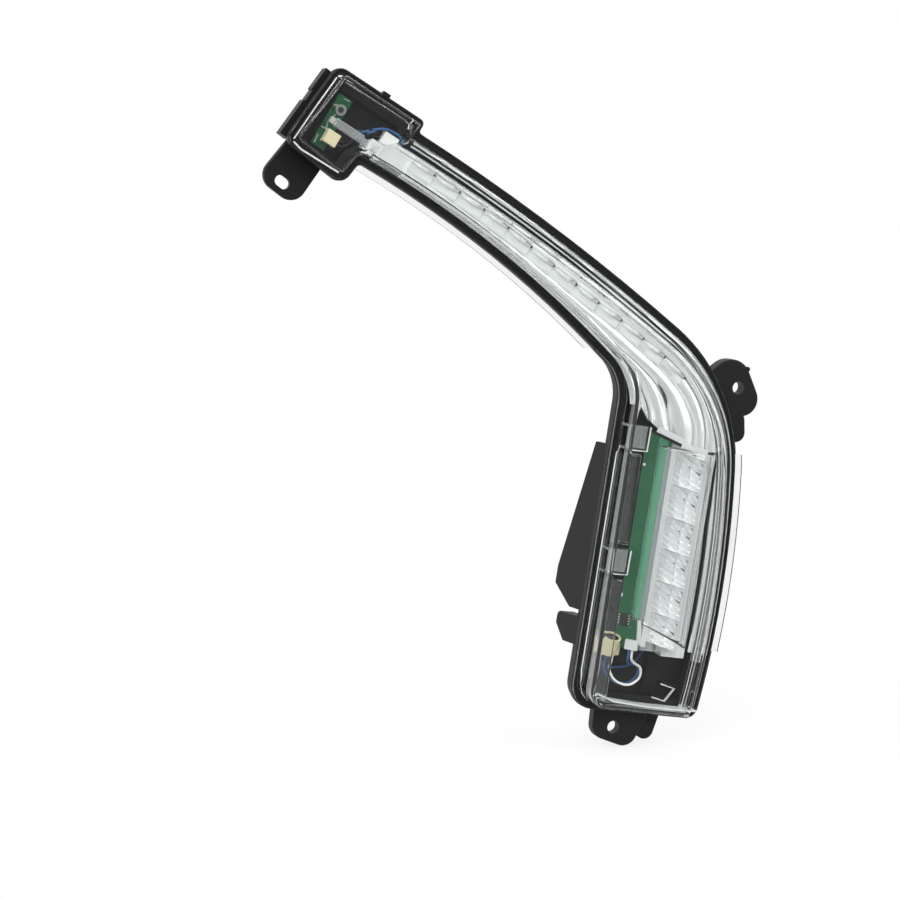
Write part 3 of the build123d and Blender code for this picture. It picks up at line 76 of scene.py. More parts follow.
def add_node(tree, kind, sockets=None, **settings):
    """Add one node with its settings, and its sockets set to values or linked to other sockets."""
    node = tree.nodes.new(kind)
    for name, value in settings.items():
        setattr(node, name, value)
    for name, value in (sockets or {}).items():
        if isinstance(value, bpy.types.NodeSocket):
            tree.links.new(value, node.inputs[name])
        else:
            node.inputs[name].default_value = value
    return node


def blank_material(name):
    """Make a material with an empty node tree and its output node."""
    material = bpy.data.materials.new(name)
    material.use_nodes = True
    material.node_tree.nodes.clear()
    return material, material.node_tree, add_node(material.node_tree, "ShaderNodeOutputMaterial")


def opaque(name, colour, roughness, grain=None, **sockets):
    """Make a solid finish, with an optional moulded grain of (spacing in mm, depth in mm)."""
    material, tree, output = blank_material(name)
    values = {"Base Color": linear(colour), "Roughness": roughness}
    values.update(sockets)
    shader = add_node(tree, "ShaderNodeBsdfPrincipled", values)
    if grain:
        spacing, depth = grain
        place = add_node(tree, "ShaderNodeTexCoord")
        noise = add_node(
            tree,
            "ShaderNodeTexNoise",
            {"Vector": place.outputs["Object"], "Scale": 1 / (spacing * MM), "Detail": 3.0},
        )
        bump = add_node(
            tree,
            "ShaderNodeBump",
            {"Height": noise.outputs["Fac"], "Distance": depth * MM, "Strength": 1.0},
        )
        tree.links.new(bump.outputs["Normal"], shader.inputs["Normal"])
    tree.links.new(shader.outputs["BSDF"], output.inputs["Surface"])
    return material


def clear(name, colour, ior, roughness, shine=0.5, haze=0.0):
    """Make a clear plastic that lets the lamps' light straight through to what it covers."""
    material, tree, output = blank_material(name)
    glass = add_node(
        tree,
        "ShaderNodeBsdfPrincipled",
        {
            "Base Color": linear(colour),
            "Roughness": roughness,
            "IOR": ior,
            "Specular IOR Level": shine,
            "Transmission Weight": 1.0 - haze,
        },
    )
    through = add_node(tree, "ShaderNodeBsdfTransparent", {"Color": linear(colour)})
    path = add_node(tree, "ShaderNodeLightPath")
    mix = add_node(
        tree,
        "ShaderNodeMixShader",
        {0: path.outputs["Is Shadow Ray"], 1: glass.outputs["BSDF"], 2: through.outputs["BSDF"]},
    )
    tree.links.new(mix.outputs["Shader"], output.inputs["Surface"])
    return material


# Places on the lamp, in mm: flat points are (x, z), and front is the height towards the lens

FOOT = np.array((-95.414, -161.756))
LEG_RIGHT = np.array((0.98686, -0.16160))
LEG_UP = np.array((0.16160, 0.98686))
HEAD_ROOT = np.array((-175.169, 131.287))
HEAD_RIGHT = np.array((0.84805, -0.52992))
HEAD_UP = np.array((0.52992, 0.84805))
BOARD_LEAN = math.radians(36)
BOARD_LEFT = 20.0
BOARD_LOW = 34.0
BOARD_FRONT = 10.0


def leg_at(u, v):
    """Flat point u right of the leg's left edge and v above its foot."""
    return FOOT + LEG_RIGHT * u + LEG_UP * v


def head_at(x, y):
    """Flat point in the head's own axes, from where the arm's outer edge leaves the head."""
    return HEAD_ROOT + HEAD_RIGHT * x + HEAD_UP * y


def raised(flat, front):
    """Place in the frame, in metres, of a flat point and its height."""
    return Vector((flat[0] * MM, -front * MM, flat[1] * MM))


def leg_place(u, v, front):
    """Place in the frame of a point of the leg."""
    return raised(leg_at(u, v), front)


def head_place(x, y, front):
    """Place in the frame of a point of the head."""
    return raised(head_at(x, y), front)


def flat_place(x, z, front):
    """Place in the frame of a flat point."""
    return raised((x, z), front)


def board_place(across, along, lift):
    """Place in the frame of a point of the leaning leg board, lift above its face."""
    u = BOARD_LEFT + across * math.cos(BOARD_LEAN) - lift * math.sin(BOARD_LEAN)
    front = BOARD_FRONT + across * math.sin(BOARD_LEAN) + lift * math.cos(BOARD_LEAN)
    return leg_place(u, BOARD_LOW + along, front)


SPLINE_STEPS = 24


def smooth_path(points, count):
    """Even steps along a smooth curve through flat points."""
    knots = np.array(points, float)
    ends = np.vstack((2 * knots[0] - knots[1], knots, 2 * knots[-1] - knots[-2]))
    fine = []
    for a, b, c, d in zip(ends, ends[1:], ends[2:], ends[3:]):
        for k in np.linspace(0, 1, SPLINE_STEPS, endpoint=False):
            bend = (2 * a - 5 * b + 4 * c - d) * k**2 + (3 * b - a - 3 * c + d) * k**3
            fine.append(0.5 * (2 * b + (c - a) * k + bend))
    fine.append(knots[-1])
    fine = np.array(fine)
    run = np.concatenate(([0], np.cumsum(np.linalg.norm(np.diff(fine, axis=0), axis=1))))
    at = np.linspace(0, run[-1], count)
    return np.column_stack([np.interp(at, run, fine[:, k]) for k in range(fine.shape[1])])


def mesh_piece(name, corners, faces, material, smooth=True):
    """Make a mesh object whose place is in its mesh."""
    mesh = bpy.data.meshes.new(name)
    mesh.from_pydata([tuple(c) for c in corners], [], faces)
    mesh.materials.append(material)
    mesh.polygons.foreach_set("use_smooth", [smooth] * len(mesh.polygons))
    mesh.update()
    piece = bpy.data.objects.new(name, mesh)
    bpy.context.scene.collection.objects.link(piece)
    return piece


def path_piece(name, points, material):
    """Make a mesh of edges through points, for geometry nodes to follow."""
    piece = mesh_piece(name, points, [], material)
    piece.data.edges.add(len(points) - 1)
    for k, edge in enumerate(piece.data.edges):
        edge.vertices = (k, k + 1)
    return piece


def apply_modifiers(piece):
    """Turn a piece with modifiers into a plain mesh."""
    graph = bpy.context.evaluated_depsgraph_get()
    plain = bpy.data.meshes.new_from_object(piece.evaluated_get(graph), depsgraph=graph)
    piece.modifiers.clear()
    piece.data = plain
    return piece


SKIN_THICKNESS = 0.8


def level(start, end=None):
    """Heights at the two ends of a line, the same where one is given."""
    return [(0, start), (1, start if end is None else end)]


def band_loft(name, bands, rows, material):
    """Skin bands between two paths with fronts, with a crown, a count of steps and open stretches."""
    corners, faces = [], []
    for (path_a, front_a), (path_b, front_b), crown, steps, gaps in bands:
        first = len(corners)
        for r in range(rows):
            share = r / (rows - 1)
            high_a, high_b, rise = (np.interp(share, *zip(*v)) for v in (front_a, front_b, crown))
            for k in range(steps + 1):
                w = k / steps
                flat = path_a[r] * (1 - w) + path_b[r] * w
                front = high_a * (1 - w) + high_b * w + rise * (1 - (2 * w - 1) ** 2)
                corners.append(raised(flat, front))
        for r in range(rows - 1):
            share = (r + 0.5) / (rows - 1)
            if any(low <= share <= high for low, high in gaps):
                continue
            for k in range(steps):
                a = first + r * (steps + 1) + k
                faces.append((a, a + steps + 1, a + steps + 2, a + 1))
    piece = mesh_piece(name, corners, faces, material)
    wall = piece.modifiers.new("wall", "SOLIDIFY")
    wall.thickness = SKIN_THICKNESS * MM
    wall.offset = -1.0
    return apply_modifiers(piece)


def relief_block(name, across, along, front_at, back, material):
    """Closed block with a shaped front: rows across and along, and a function for the front height."""
    n, m = len(across), len(along)
    corners = [Vector((x * MM, -front_at(i / (n - 1), j / (m - 1)) * MM, z * MM))
               for i, x in enumerate(across) for j, z in enumerate(along)]
    rim = [(i, 0) for i in range(n)] + [(n - 1, j) for j in range(1, m)]
    rim += [(i, m - 1) for i in range(n - 2, -1, -1)] + [(0, j) for j in range(m - 2, 0, -1)]
    top = [i * m + j for i, j in rim]
    faces = [(i * m + j, (i + 1) * m + j, (i + 1) * m + j + 1, i * m + j + 1)
             for i in range(n - 1) for j in range(m - 1)]
    low = len(corners)
    corners += [Vector((corners[k].x, -back * MM, corners[k].z)) for k in top]
    for k in range(len(top)):
        after = (k + 1) % len(top)
        faces.append((top[after], top[k], low + k, low + after))
    faces.append(tuple(range(low + len(top) - 1, low - 1, -1)))
    return mesh_piece(name, corners, faces, material)


def repeat_tree(name, material, path):
    """Geometry nodes that set copies of a unit in a row, or along a path and turned with it."""
    tree = bpy.data.node_groups.new(name, "GeometryNodeTree")
    face = tree.interface
    face.new_socket("Geometry", in_out="INPUT", socket_type="NodeSocketGeometry")
    face.new_socket("Count", in_out="INPUT", socket_type="NodeSocketInt")
    if path:
        face.new_socket("Unit", in_out="INPUT", socket_type="NodeSocketObject")
    else:
        face.new_socket("Step", in_out="INPUT", socket_type="NodeSocketVector")
    face.new_socket("Geometry", in_out="OUTPUT", socket_type="NodeSocketGeometry")
    into = add_node(tree, "NodeGroupInput")
    if path:
        line = add_node(tree, "GeometryNodeMeshToCurve", {"Mesh": into.outputs["Geometry"]})
        points = add_node(
            tree,
            "GeometryNodeCurveToPoints",
            {"Curve": line.outputs["Curve"], "Count": into.outputs["Count"]},
            mode="COUNT",
        )
        turn = add_node(
            tree,
            "FunctionNodeAlignRotationToVector",
            {"Vector": points.outputs["Tangent"]},
            axis="X",
            pivot_axis="Y",
        )
        unit = add_node(tree, "GeometryNodeObjectInfo", {"Object": into.outputs["Unit"]})
        sockets = {
            "Points": points.outputs["Points"],
            "Instance": unit.outputs["Geometry"],
            "Rotation": turn.outputs["Rotation"],
        }
    else:
        points = add_node(
            tree,
            "GeometryNodeMeshLine",
            {"Count": into.outputs["Count"], "Offset": into.outputs["Step"]},
            mode="OFFSET",
        )
        sockets = {"Points": points.outputs["Mesh"], "Instance": into.outputs["Geometry"]}
    copies = add_node(tree, "GeometryNodeInstanceOnPoints", sockets)
    real = add_node(tree, "GeometryNodeRealizeInstances", {"Geometry": copies.outputs["Instances"]})
    dressed = add_node(
        tree,
        "GeometryNodeSetMaterial",
        {"Geometry": real.outputs["Geometry"], "Material": material},
    )
    add_node(tree, "NodeGroupOutput", {"Geometry": dressed.outputs["Geometry"]})
    return tree


def repeat(piece, material, count, step=None, unit=None):
    """Repeat a piece along a step, or a unit along the piece's own path, and keep the plain mesh."""
    tree = repeat_tree(piece.name, material, unit is not None)
    pattern = piece.modifiers.new("pattern", "NODES")
    pattern.node_group = tree
    values = {"Count": count, "Step": step, "Unit": unit}
    for socket in tree.interface.items_tree:
        if socket.in_out == "INPUT" and socket.name in values:
            pattern[socket.identifier] = values[socket.name]
    apply_modifiers(piece)
    if unit is not None:
        bpy.data.objects.remove(unit)
    return piece


def block_piece(name, boxes, material, edge):
    """Boxes with rounded edges, each given by its place function, two ranges and two fronts."""
    corners, faces = [], []
    for place, x0, x1, y0, y1, f0, f1 in boxes:
        first = len(corners)
        for front in (f0, f1):
            corners += [place(x, y, front) for x, y in ((x0, y0), (x1, y0), (x1, y1), (x0, y1))]
        for ring in ((3, 2, 1, 0), (4, 5, 6, 7), (0, 1, 5, 4), (1, 2, 6, 5), (2, 3, 7, 6), (3, 0, 4, 7)):
            faces.append(tuple(first + k for k in ring))
    piece = mesh_piece(name, corners, faces, material, smooth=False)
    if edge:
        bevel = piece.modifiers.new("edge", "BEVEL")
        bevel.width = edge * MM
        bevel.segments = 2
        apply_modifiers(piece)
    return piece


def ribbon_piece(name, ribbons, material):
    """Flat strips along places: a place function, points, a width or a width for each, and two fronts."""
    corners, faces = [], []
    for place, points, width, f0, f1 in ribbons:
        knots = np.array(points, float)
        run = np.gradient(knots, axis=0)
        side = np.column_stack((-run[:, 1], run[:, 0])) / np.linalg.norm(run, axis=1)[:, None]
        side *= np.broadcast_to(width, len(knots))[:, None] / 2
        section = ((1, f0), (-1, f0), (-1, f1), (1, f1))
        first = len(corners)
        for middle, away in zip(knots, side):
            corners += [place(*(middle + turn * away), front) for turn, front in section]
        for k in range(len(knots) - 1):
            a = first + 4 * k
            faces += [(a + i, a + 4 + i, a + 4 + (i + 1) % 4, a + (i + 1) % 4) for i in range(4)]
        last = first + 4 * (len(knots) - 1)
        faces += [tuple(first + i for i in range(4)), tuple(last + i for i in (3, 2, 1, 0))]
    return mesh_piece(name, corners, faces, material, smooth=False)


CUP_SIDES = 40
CUP_CREASE = math.radians(40)


def cup_piece(name, middle, axis, radii, depth, length, material):
    """Round cup round an axis, open at its far end: outer and inner radius, depth of the mouth, length."""
    along = Vector(axis).normalized()
    across = along.orthogonal().normalized()
    beside = along.cross(across)
    outer, inner = radii
    rings = [(outer, 0.0), (outer, length), (inner, length), (inner, length - depth)]
    corners, faces = [], []
    for radius, height in rings:
        for a in (math.tau * k / CUP_SIDES for k in range(CUP_SIDES)):
            turned = across * math.cos(a) + beside * math.sin(a)
            corners.append(Vector(middle) + (turned * radius + along * height) * MM)
    last = CUP_SIDES * (len(rings) - 1)
    for start in range(0, last, CUP_SIDES):
        for k in range(CUP_SIDES):
            a, b = start + k, start + (k + 1) % CUP_SIDES
            faces.append((a, b, b + CUP_SIDES, a + CUP_SIDES))
    faces += [tuple(reversed(range(CUP_SIDES))), tuple(range(last, last + CUP_SIDES))]
    piece = mesh_piece(name, corners, faces, material)
    piece.data.set_sharp_from_angle(angle=CUP_CREASE)
    return piece


def ride(piece, slot, *replaced):
    """Fix a piece to the lamp, in place of the CAD nodes that it details. Its slot is not used."""
    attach(piece, "root")
    if replaced:
        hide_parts(*replaced)


def finish_of(name, context):
    """Finish by its name, made with the others when the first is asked for."""
    store = context.scene.running_light_finish
    if not store.made:
        for key, material in finishes(store).items():
            material["finish"] = key
        store.made = True
    return next(m for m in bpy.data.materials if m.get("finish") == name)


def strips(context, name, ribbons, finish, slot):
    """Make flat strips in a finish and fix them to the lamp."""
    ride(ribbon_piece(name, ribbons, finish_of(finish, context)), slot)


def blocks(context, name, boxes, finish, slot, edge):
    """Make boxes in a finish, with rounded edges, and fix them to the lamp."""
    ride(block_piece(name, boxes, finish_of(finish, context), edge), slot)


# Finishes

# Place along x, in metres, where the sleeve of the head's blue wire ends
SLEEVE_END = -0.206


def finishes(look):
    """Make every finish once, named for its slot, or by itself where a slot has several."""
    return {
        # Polypropylene moulded in an etched tool: near black, with a broad soft sheen and a fine grain.
        "housing_black": opaque(
            "polypropylene, black, etch moulded",
            look.housing,
            0.5,
            grain=(0.6, 0.006),
            **{"Specular IOR Level": 0.3},
        ),
        # Polycarbonate from a polished tool: water clear, with crisp reflections and bright thin edges.
        "lens_clear": clear("polycarbonate, clear, polish moulded", look.lens, 1.585, 0.0),
        # Acrylic from a fine blasted tool: milky, a faint green along its length.
        "guide_clear": clear("acrylic, clear, blast moulded", look.guide, 1.49, 0.08, shine=0.4, haze=0.5),
        # Acrylic from a polished tool, thick: a grey bar with bright edges.
        "guide_bar": clear("acrylic bar, clear, polish moulded", look.guide, 1.49, 0.03, haze=0.12),
        # Thin polished acrylic over the cells, free of haze.
        "cover_clear": clear("acrylic cover, clear, polish moulded", look.lens, 1.49, 0.0, shine=0.4),
        # Aluminium laid on white plastic in vacuum: a soft bright mirror with pale, low shades.
        "metallised": opaque("aluminium, vacuum coated", look.reflector, 0.2, Metallic=0.55),
        # The same coating over sharp facets, with crisper lights and shades; its colour is painted brighter
        # than the arm's coating, a painted highlight on the leg's cells.
        "cell_metal_painted_bright": opaque("aluminium, vacuum coated over facets", "#FAFBFB", 0.16, Metallic=0.5),
        # Butyl bead: dull black and tacky.
        "sealant": opaque("butyl rubber, extruded", "#161616", 0.7),
        # Epoxy glass board under a green solder mask: smooth, with a low wet looking gloss.
        "board_green": opaque("epoxy glass board, green solder mask", look.board, 0.32),
        # The mask over a copper plane: a paler, yellower green.
        "board_land": opaque("epoxy glass board, mask over copper", "#43936C", 0.32),
        # The same board where the mill has cut it: dull grey fibre.
        "board_edge": opaque("epoxy glass board edge, milled", "#8E9797", 0.5),
        # Epoxy moulded round the chip: matt charcoal.
        "chip_black": opaque("epoxy, black, transfer moulded", "#1B1C1E", 0.55),
        # Tin over copper: a soft white metal.
        "tinned": opaque("copper, tin plated", "#D9DAD8", 0.28, Metallic=1.0),
        # Ceramic under a dark glaze: small dull grey chips.
        "ceramic": opaque("alumina ceramic, glazed dark", "#46544E", 0.5),
        # Filled polyamide, unlit: a plain light grey.
        "led_package": opaque("polyamide LED package, moulded", "#A9ADA6", 0.45),
        # Nylon connector bodies: slightly waxy, so the edges look soft.
        "nylon_cream": opaque(
            "nylon, cream, moulded",
            "#CFC6A2",
            0.42,
            **{"Subsurface Weight": 0.1, "Subsurface Scale": 0.002},
        ),
        "nylon_white": opaque("nylon, white, moulded", "#DADAD7", 0.4),
        "nylon_grey": opaque("nylon, light grey, moulded", "#C9CBCB", 0.4),
        # Zinc with a clear passivation: a cool dull silver.
        "screw_steel": opaque("steel, zinc plated", "#C2C5C8", 0.32, Metallic=1.0),
        # PVC drawn over the strand: smooth, with a narrow highlight.
        "wire_blue": opaque("PVC wire, blue, extruded", look.blue_wire, 0.36),
        # The same wire, its start in a black sleeve that hardly shows against the housing.
        "wire_sleeved": sleeved("PVC wire, blue, part sleeved", look.blue_wire, "#191A1B", SLEEVE_END),
        "wire_white": opaque("PVC wire, white, extruded", "#E9E8E4", 0.36),
        "wire_black": opaque("PVC wire, black, extruded", "#1A1A1B", 0.4),
        # Silicone rubber: dull, a little dusty.
        "seal_rubber": opaque("silicone rubber, moulded", "#3A3C3E", 0.65),
    }


def sleeved(name, colour, sleeve, end):
    """Make a wire finish whose insulation is under a dark sleeve up to a place along x."""
    material = opaque(name, colour, 0.36)
    tree = material.node_tree
    shader = next(n for n in tree.nodes if n.type == "BSDF_PRINCIPLED")
    place = add_node(tree, "ShaderNodeTexCoord")
    apart = add_node(tree, "ShaderNodeSeparateXYZ", {"Vector": place.outputs["Object"]})
    bare = add_node(tree, "ShaderNodeMath", {0: apart.outputs["X"], 1: end}, operation="GREATER_THAN")
    mix = add_node(
        tree,
        "ShaderNodeMix",
        {"Factor": bare.outputs[0], 6: linear(sleeve), 7: linear(colour)},
        data_type="RGBA",
    )
    tree.links.new(mix.outputs[2], shader.inputs["Base Color"])
    return material


def dress(names, finish, context):
    """Give CAD nodes a finish."""
    for name in names:
        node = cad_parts[name]
        node.data.materials.clear()
        node.data.materials.append(finish_of(finish, context))


class RunningLightFinish(bpy.types.PropertyGroup):
    """Colours of the lamp's finishes, as sRGB hex values."""

    housing: bpy.props.StringProperty(
        name="Housing", description="Colour of the moulded housing", default="#0F1011"
    )
    lens: bpy.props.StringProperty(
        name="Lens", description="Tint of the outer lens", default="#FAFBFB"
    )
    guide: bpy.props.StringProperty(
        name="Guide", description="Tint of the light guide", default="#EEF0EF"
    )
    reflector: bpy.props.StringProperty(
        name="Reflector", description="Colour of the aluminised reflectors", default="#EFF1F1"
    )
    board: bpy.props.StringProperty(
        name="Board", description="Colour of the solder mask", default="#0A5431"
    )
    blue_wire: bpy.props.StringProperty(
        name="Blue wire", description="Colour of the blue wires", default="#1C4F80"
    )
    made: bpy.props.BoolProperty(
        name="Made", description="True once the finishes exist in the file", default=False
    )


class RunningLightOptics(bpy.types.PropertyGroup):
    """Sizes of the reflectors and the light guide."""

    trough_rows: bpy.props.IntProperty(
        name="Trough rows", description="Steps along the arm's trough", default=260, min=20
    )
    boat_count: bpy.props.IntProperty(
        name="Facets", description="Boat shaped facets along the guide", default=12, min=1
    )
    boat_length: bpy.props.FloatProperty(
        name="Facet length", description="Length of one facet", default=16.6 * MM, unit="LENGTH"
    )
    boat_width: bpy.props.FloatProperty(
        name="Facet width", description="Width of one facet", default=6.6 * MM, unit="LENGTH"
    )
    boat_rise: bpy.props.FloatProperty(
        name="Facet rise", description="Climb of a facet along the guide", default=1.8 * MM, unit="LENGTH"
    )
    boat_lip: bpy.props.FloatProperty(
        name="Facet lip", description="Height of a facet's round lip", default=1.1 * MM, unit="LENGTH"
    )
    cell_count: bpy.props.IntProperty(
        name="Cells", description="Reflector cells in the leg", default=6, min=1
    )
    cell_pitch: bpy.props.FloatProperty(
        name="Cell pitch", description="Spacing of the cells", default=16.8 * MM, unit="LENGTH"
    )
    cell_slant: bpy.props.FloatProperty(
        name="Cell slant",
        description="Fall of a cell's edge across the leg",
        default=3.8 * MM,
        unit="LENGTH",
    )
    pillow_columns: bpy.props.IntProperty(
        name="Pillow columns", description="Pillow facets across a cell", default=3, min=1
    )
    pillow_rows: bpy.props.IntProperty(
        name="Pillow rows", description="Pillow facets along a cell", default=5, min=1
    )
    pillow_rise: bpy.props.FloatProperty(
        name="Pillow rise", description="Height of a pillow facet", default=2.2 * MM, unit="LENGTH"
    )


class RunningLightStage(bpy.types.PropertyGroup):
    """Camera and light of the stage."""

    camera_turn: bpy.props.FloatProperty(
        name="Camera turn",
        description="Angle of the camera round the lamp",
        default=math.radians(-18),
        subtype="ANGLE",
    )
    camera_lift: bpy.props.FloatProperty(
        name="Camera lift",
        description="Angle of the camera above the lamp",
        default=math.radians(7),
        subtype="ANGLE",
    )
    focal_length: bpy.props.FloatProperty(
        name="Focal length", description="Focal length on a 36 mm sensor, in mm", default=96.0
    )
    surround: bpy.props.FloatProperty(
        name="Surround", description="Brightness of the white round the stage", default=1.0, min=0.0
    )
    dark_patch: bpy.props.FloatProperty(
        name="Dark patch", description="Brightness of the studio in front of the lamp", default=0.2, min=0.0
    )
    key_power: bpy.props.FloatProperty(
        name="Key power", description="Power of the main soft box, in watts", default=20.0
    )
    fill_power: bpy.props.FloatProperty(
        name="Fill power", description="Power of the side soft box, in watts", default=10.0
    )


# Operators


class RUNNINGLIGHT_OT_housing(bpy.types.Operator):
    """Finish the black housing and what is pressed into it"""

    bl_idname = "running_light.housing"
    bl_label = "Housing"

    def execute(self, context):
        dress(["rear_housing"], "housing_black", context)
        dress(["vent_cap", "connector_seal"], "seal_rubber", context)
        dress(["connector_pins"], "tinned", context)
        dress(["lens_sealant"], "sealant", context)
        dress(["retaining_screws"], "screw_steel", context)
        return {"FINISHED"}


# The haze on the lens's left flank: lines at a distance u with their fronts, crowned, open at a pocket
FLANK_ROWS = 80
FLANK_STEPS = 8
FLANK_SPAN = (135, 8)
FLANK_LINES = [(6.6, level(20.6)), (12.6, level(24.4, 28.6))]
FLANK_CROWN = level(0.9)
FLANK_OPENING = (0.37, 0.51)

# Rims and panes of the two snap pockets, between their lower and upper ends
POCKETS = [(middle - 6.6, middle + 6.2) for middle in (79.0, 143.0)]
POCKET_RIMS = [
    (leg_place, [(7.6, low + 1.2), (9.0, low), (16.6, low + 0.3), (16.8, high)], 0.7, 20.5, 21.2)
    for low, high in POCKETS
]
POCKET_PANES = [(leg_place, 7.4, 15.8, low + 1.2, high, 18.2, 19.0) for low, high in POCKETS]

# Moulded ribs of the lens at the foot: an open square beside its toe and a bright edge along it
TOE_RIBS = [
    (leg_place, [(52.5, 15.7), (60.3, 14.0), (55.8, 6.9), (48.4, 8.4)], 0.7, 4.5, 6),
    (leg_place, [(11.5, 10.0), (18, 8.0), (35, 6.9), (50, 6.7), (65, 6.9)], 0.9, 19, 27),
]

# Painted highlights along the lens's edges: thin milky strips on its flange, round the head and down the
# leg
FLANGE_FACE = (13.9, 14.3)
LENS_EDGE_HIGHLIGHTS = [
    (head_place, [(-52.4, -36.4), (-51.2, -17.6), (-49.6, 0.0)], 0.6, *FLANGE_FACE),
    (head_place, [(-49.4, 0.8), (-48.2, 1.6), (-46.0, 1.9), (-36.0, 2.4)], 0.9, *FLANGE_FACE),
    (head_place, [(-36.0, 2.5), (-10.4, 3.0), (-7.6, 2.0), (-6.4, -2.0)], 0.5, *FLANGE_FACE),
    (head_place, [(-51.8, -37.6), (-46.8, -38.8), (-25.0, -38.4)], 0.8, *FLANGE_FACE),
    (
        leg_place,
        [(50, 3.2), (18, 3.3), (12.4, 4.6), (7.4, 8.2), (4.3, 13.6), (3.4, 20), (3.4, 133.6), (6.6, 137.2)],
        0.5,
        13.8,
        14.2,
    ),
]


class RUNNINGLIGHT_OT_outer_lens(bpy.types.Operator):
    """Finish the clear outer lens and make its pockets, ribs and bright edges"""

    bl_idname = "running_light.outer_lens"
    bl_label = "Outer lens"

    def execute(self, context):
        dress(["outer_lens"], "lens_clear", context)
        heights = np.linspace(*FLANK_SPAN, FLANK_ROWS)
        sides = [(np.array([leg_at(u, v) for v in heights]), fronts) for u, fronts in FLANK_LINES]
        flank = band_loft(
            "lens_flank",
            [(*sides, FLANK_CROWN, FLANK_STEPS, [FLANK_OPENING])],
            FLANK_ROWS,
            finish_of("cover_clear", context),
        )
        ride(flank, "lens_clear")
        strips(context, "pocket_rims", POCKET_RIMS, "guide_clear", "lens_clear")
        blocks(context, "pocket_panes", POCKET_PANES, "guide_bar", "lens_clear", edge=0.2)
        strips(context, "toe_ribs", TOE_RIBS, "guide_clear", "lens_clear")
        # Milky strips on the flange that stand in for the bright lines of the lens's edges: painted
        # highlights
        strips(context, "lens_edges", LENS_EDGE_HIGHLIGHTS, "guide_clear", "lens_clear")
        return {"FINISHED"}


# The leg's outer arc, by its centre and radius in the leg's own axes
LEG_ARC_U = -443.1
LEG_ARC_V = 67.3
LEG_ARC_RADIUS = 519.0


def outer_edge(v):
    """Distance of the leg's outer edge from its left edge, at a height above the foot."""
    return math.sqrt(LEG_ARC_RADIUS**2 - (v - LEG_ARC_V) ** 2) + LEG_ARC_U


# Lines of the arm's trough, as flat points from the head round the elbow to the board
LIP_LINE = [
    (-183, 113), (-156.5, 94), (-121.8, 68), (-92, 42.2), (-81.4, 32.4), (-67.6, 20), (-58, 6.2),
    (-54, -2), (-51.2, -9.9), (-50.4, -15.5),
]
MIDDLE_LINE = [
    (-182.5, 113.8), (-155.8, 95), (-120.8, 69.3), (-90.5, 44), (-76, 30.5), (-57.5, 14), (-49.3, 6),
    (-44, -1.5), (-41.3, -8), (-40, -16), (-37.8, -28),
]
BOAT_LOW = [
    (-182, 114.6), (-155, 96.2), (-119.8, 70.8), (-88.5, 46), (-70, 32.4), (-56, 20.8), (-44, 10.6),
    (-35, 0.8), (-29.8, -8), (-26, -19), (-26.6, -30),
]
BOAT_HIGH = [
    (-178.6, 118.6), (-153.8, 102.9), (-131.6, 88.1), (-106.6, 67.8), (-80.3, 47.2), (-66.6, 37),
    (-52.4, 25.8), (-38.4, 14.6), (-28.9, 3.4), (-22.4, -8), (-19.4, -20), (-19.4, -31),
]

# Arcs of the lamp's outer edge, as centre, radius and angles: the arm, the elbow and the leg
OUTER_ARCS = [
    ((-785.60, -872.70), 1175.0, 58.7, 50.4),
    ((-95.593, -38.622), 92.5, 50.4, -2.0),
    ((-521.83, -23.74), 519.0, -2.0, -13.0),
]
ARC_STEPS = 20
SLOT_STEPS = 31

# The lamp's lower edge: an arc under the arm and a round inner elbow
LOWER_CENTRE = np.array((-483.28, -378.23))
LOWER_RADIUS = 567.0
LOWER_START = 58.7
LOWER_STEPS = 24
INNER_ELBOW = 25.0
ELBOW_STEPS = 10

# Depths of the outer band's lines inside the outer edge, by arc: 0 to 1 arm, to 2 elbow, to 3 leg
SLOT_DEPTHS = [(0, 9.2), (0.5, 9.4), (1, 9.0), (1.4, 7.4), (1.8, 8.4), (2.05, 11.8), (2.3, 13.2), (3, 13.6)]
SLOT_WIDTHS = [
    (0, 2.4), (0.3, 2.2), (0.6, 2.6), (0.8, 1.3), (1.1, 1.8), (1.5, 2.0), (1.8, 0.9), (2, 1.8), (3, 2.2),
]
SLOT_LOW_END = 2.1
BAND_DEPTHS = [(0, 7.4), (1, 7.2), (1.5, 5.8), (1.9, 7.0), (2.2, 10.0), (3, 10.6)]
RIM_DEPTHS = [(0, 5.6), (1, 5.4), (1.5, 4.8), (2, 5.4), (3, 6.6)]

# Insets of the lines beside the lower edge, along the arm and at the end of the inner elbow
LEDGE_INSETS = (4.4, 8.0)
WALL_INSETS = (6.8, 12.0)

# Bands of the trough: two lines with their fronts at the head's and the leg's end, the crown and its steps
TROUGH_BANDS = [
    (("ledge", 14.4, 14.4), ("wall", 14.4, 14.4), level(0), 4),
    (("wall", 14.4, 14.4), ("lip", 8, 8), level(-0.6, 0.6), 6),
    (("lip", 8, 8), ("middle", 8, 9), [(0, 0.4), (0.6, 0.6), (1, 2.6)], 8),
    (("middle", 8, 9), ("boat_low", 7, 9), [(0, 0.3), (0.6, 0.6), (1, 2.6)], 8),
    (("boat_low", 7, 9), ("boat_high", 7, 9), [(0, 0), (0.7, 0), (1, 1.6)], 6),
    (("boat_high", 7.5, 9), ("slot_low", 10, 9.5), level(0.8, 1.2), 8),
    (("slot_high", 10, 9.5), ("band", 10.4, 10), level(0.5, 0.6), 6),
    (("band", 10.2, 9.6), ("rim", 9, 8.6), level(0.4), 6),
]

# Dark strips between the channels at the elbow: painted dark reflections in the metallised channels
CHANNEL_DARK_REFLECTIONS = [
    (
        flat_place,
        [(-47.4, 4.2), (-45.2, 0.9), (-43.6, -2.2), (-42.6, -5.6), (-42.2, -8.8)],
        (0.2, 1.1, 1.6, 1.3, 0.2),
        11.2,
        11.6,
    ),
    (flat_place, [(-61.4, 11.4), (-59.6, 7.6), (-58.3, 4.9)], (0.2, 1.0, 0.2), 9.6, 10),
]


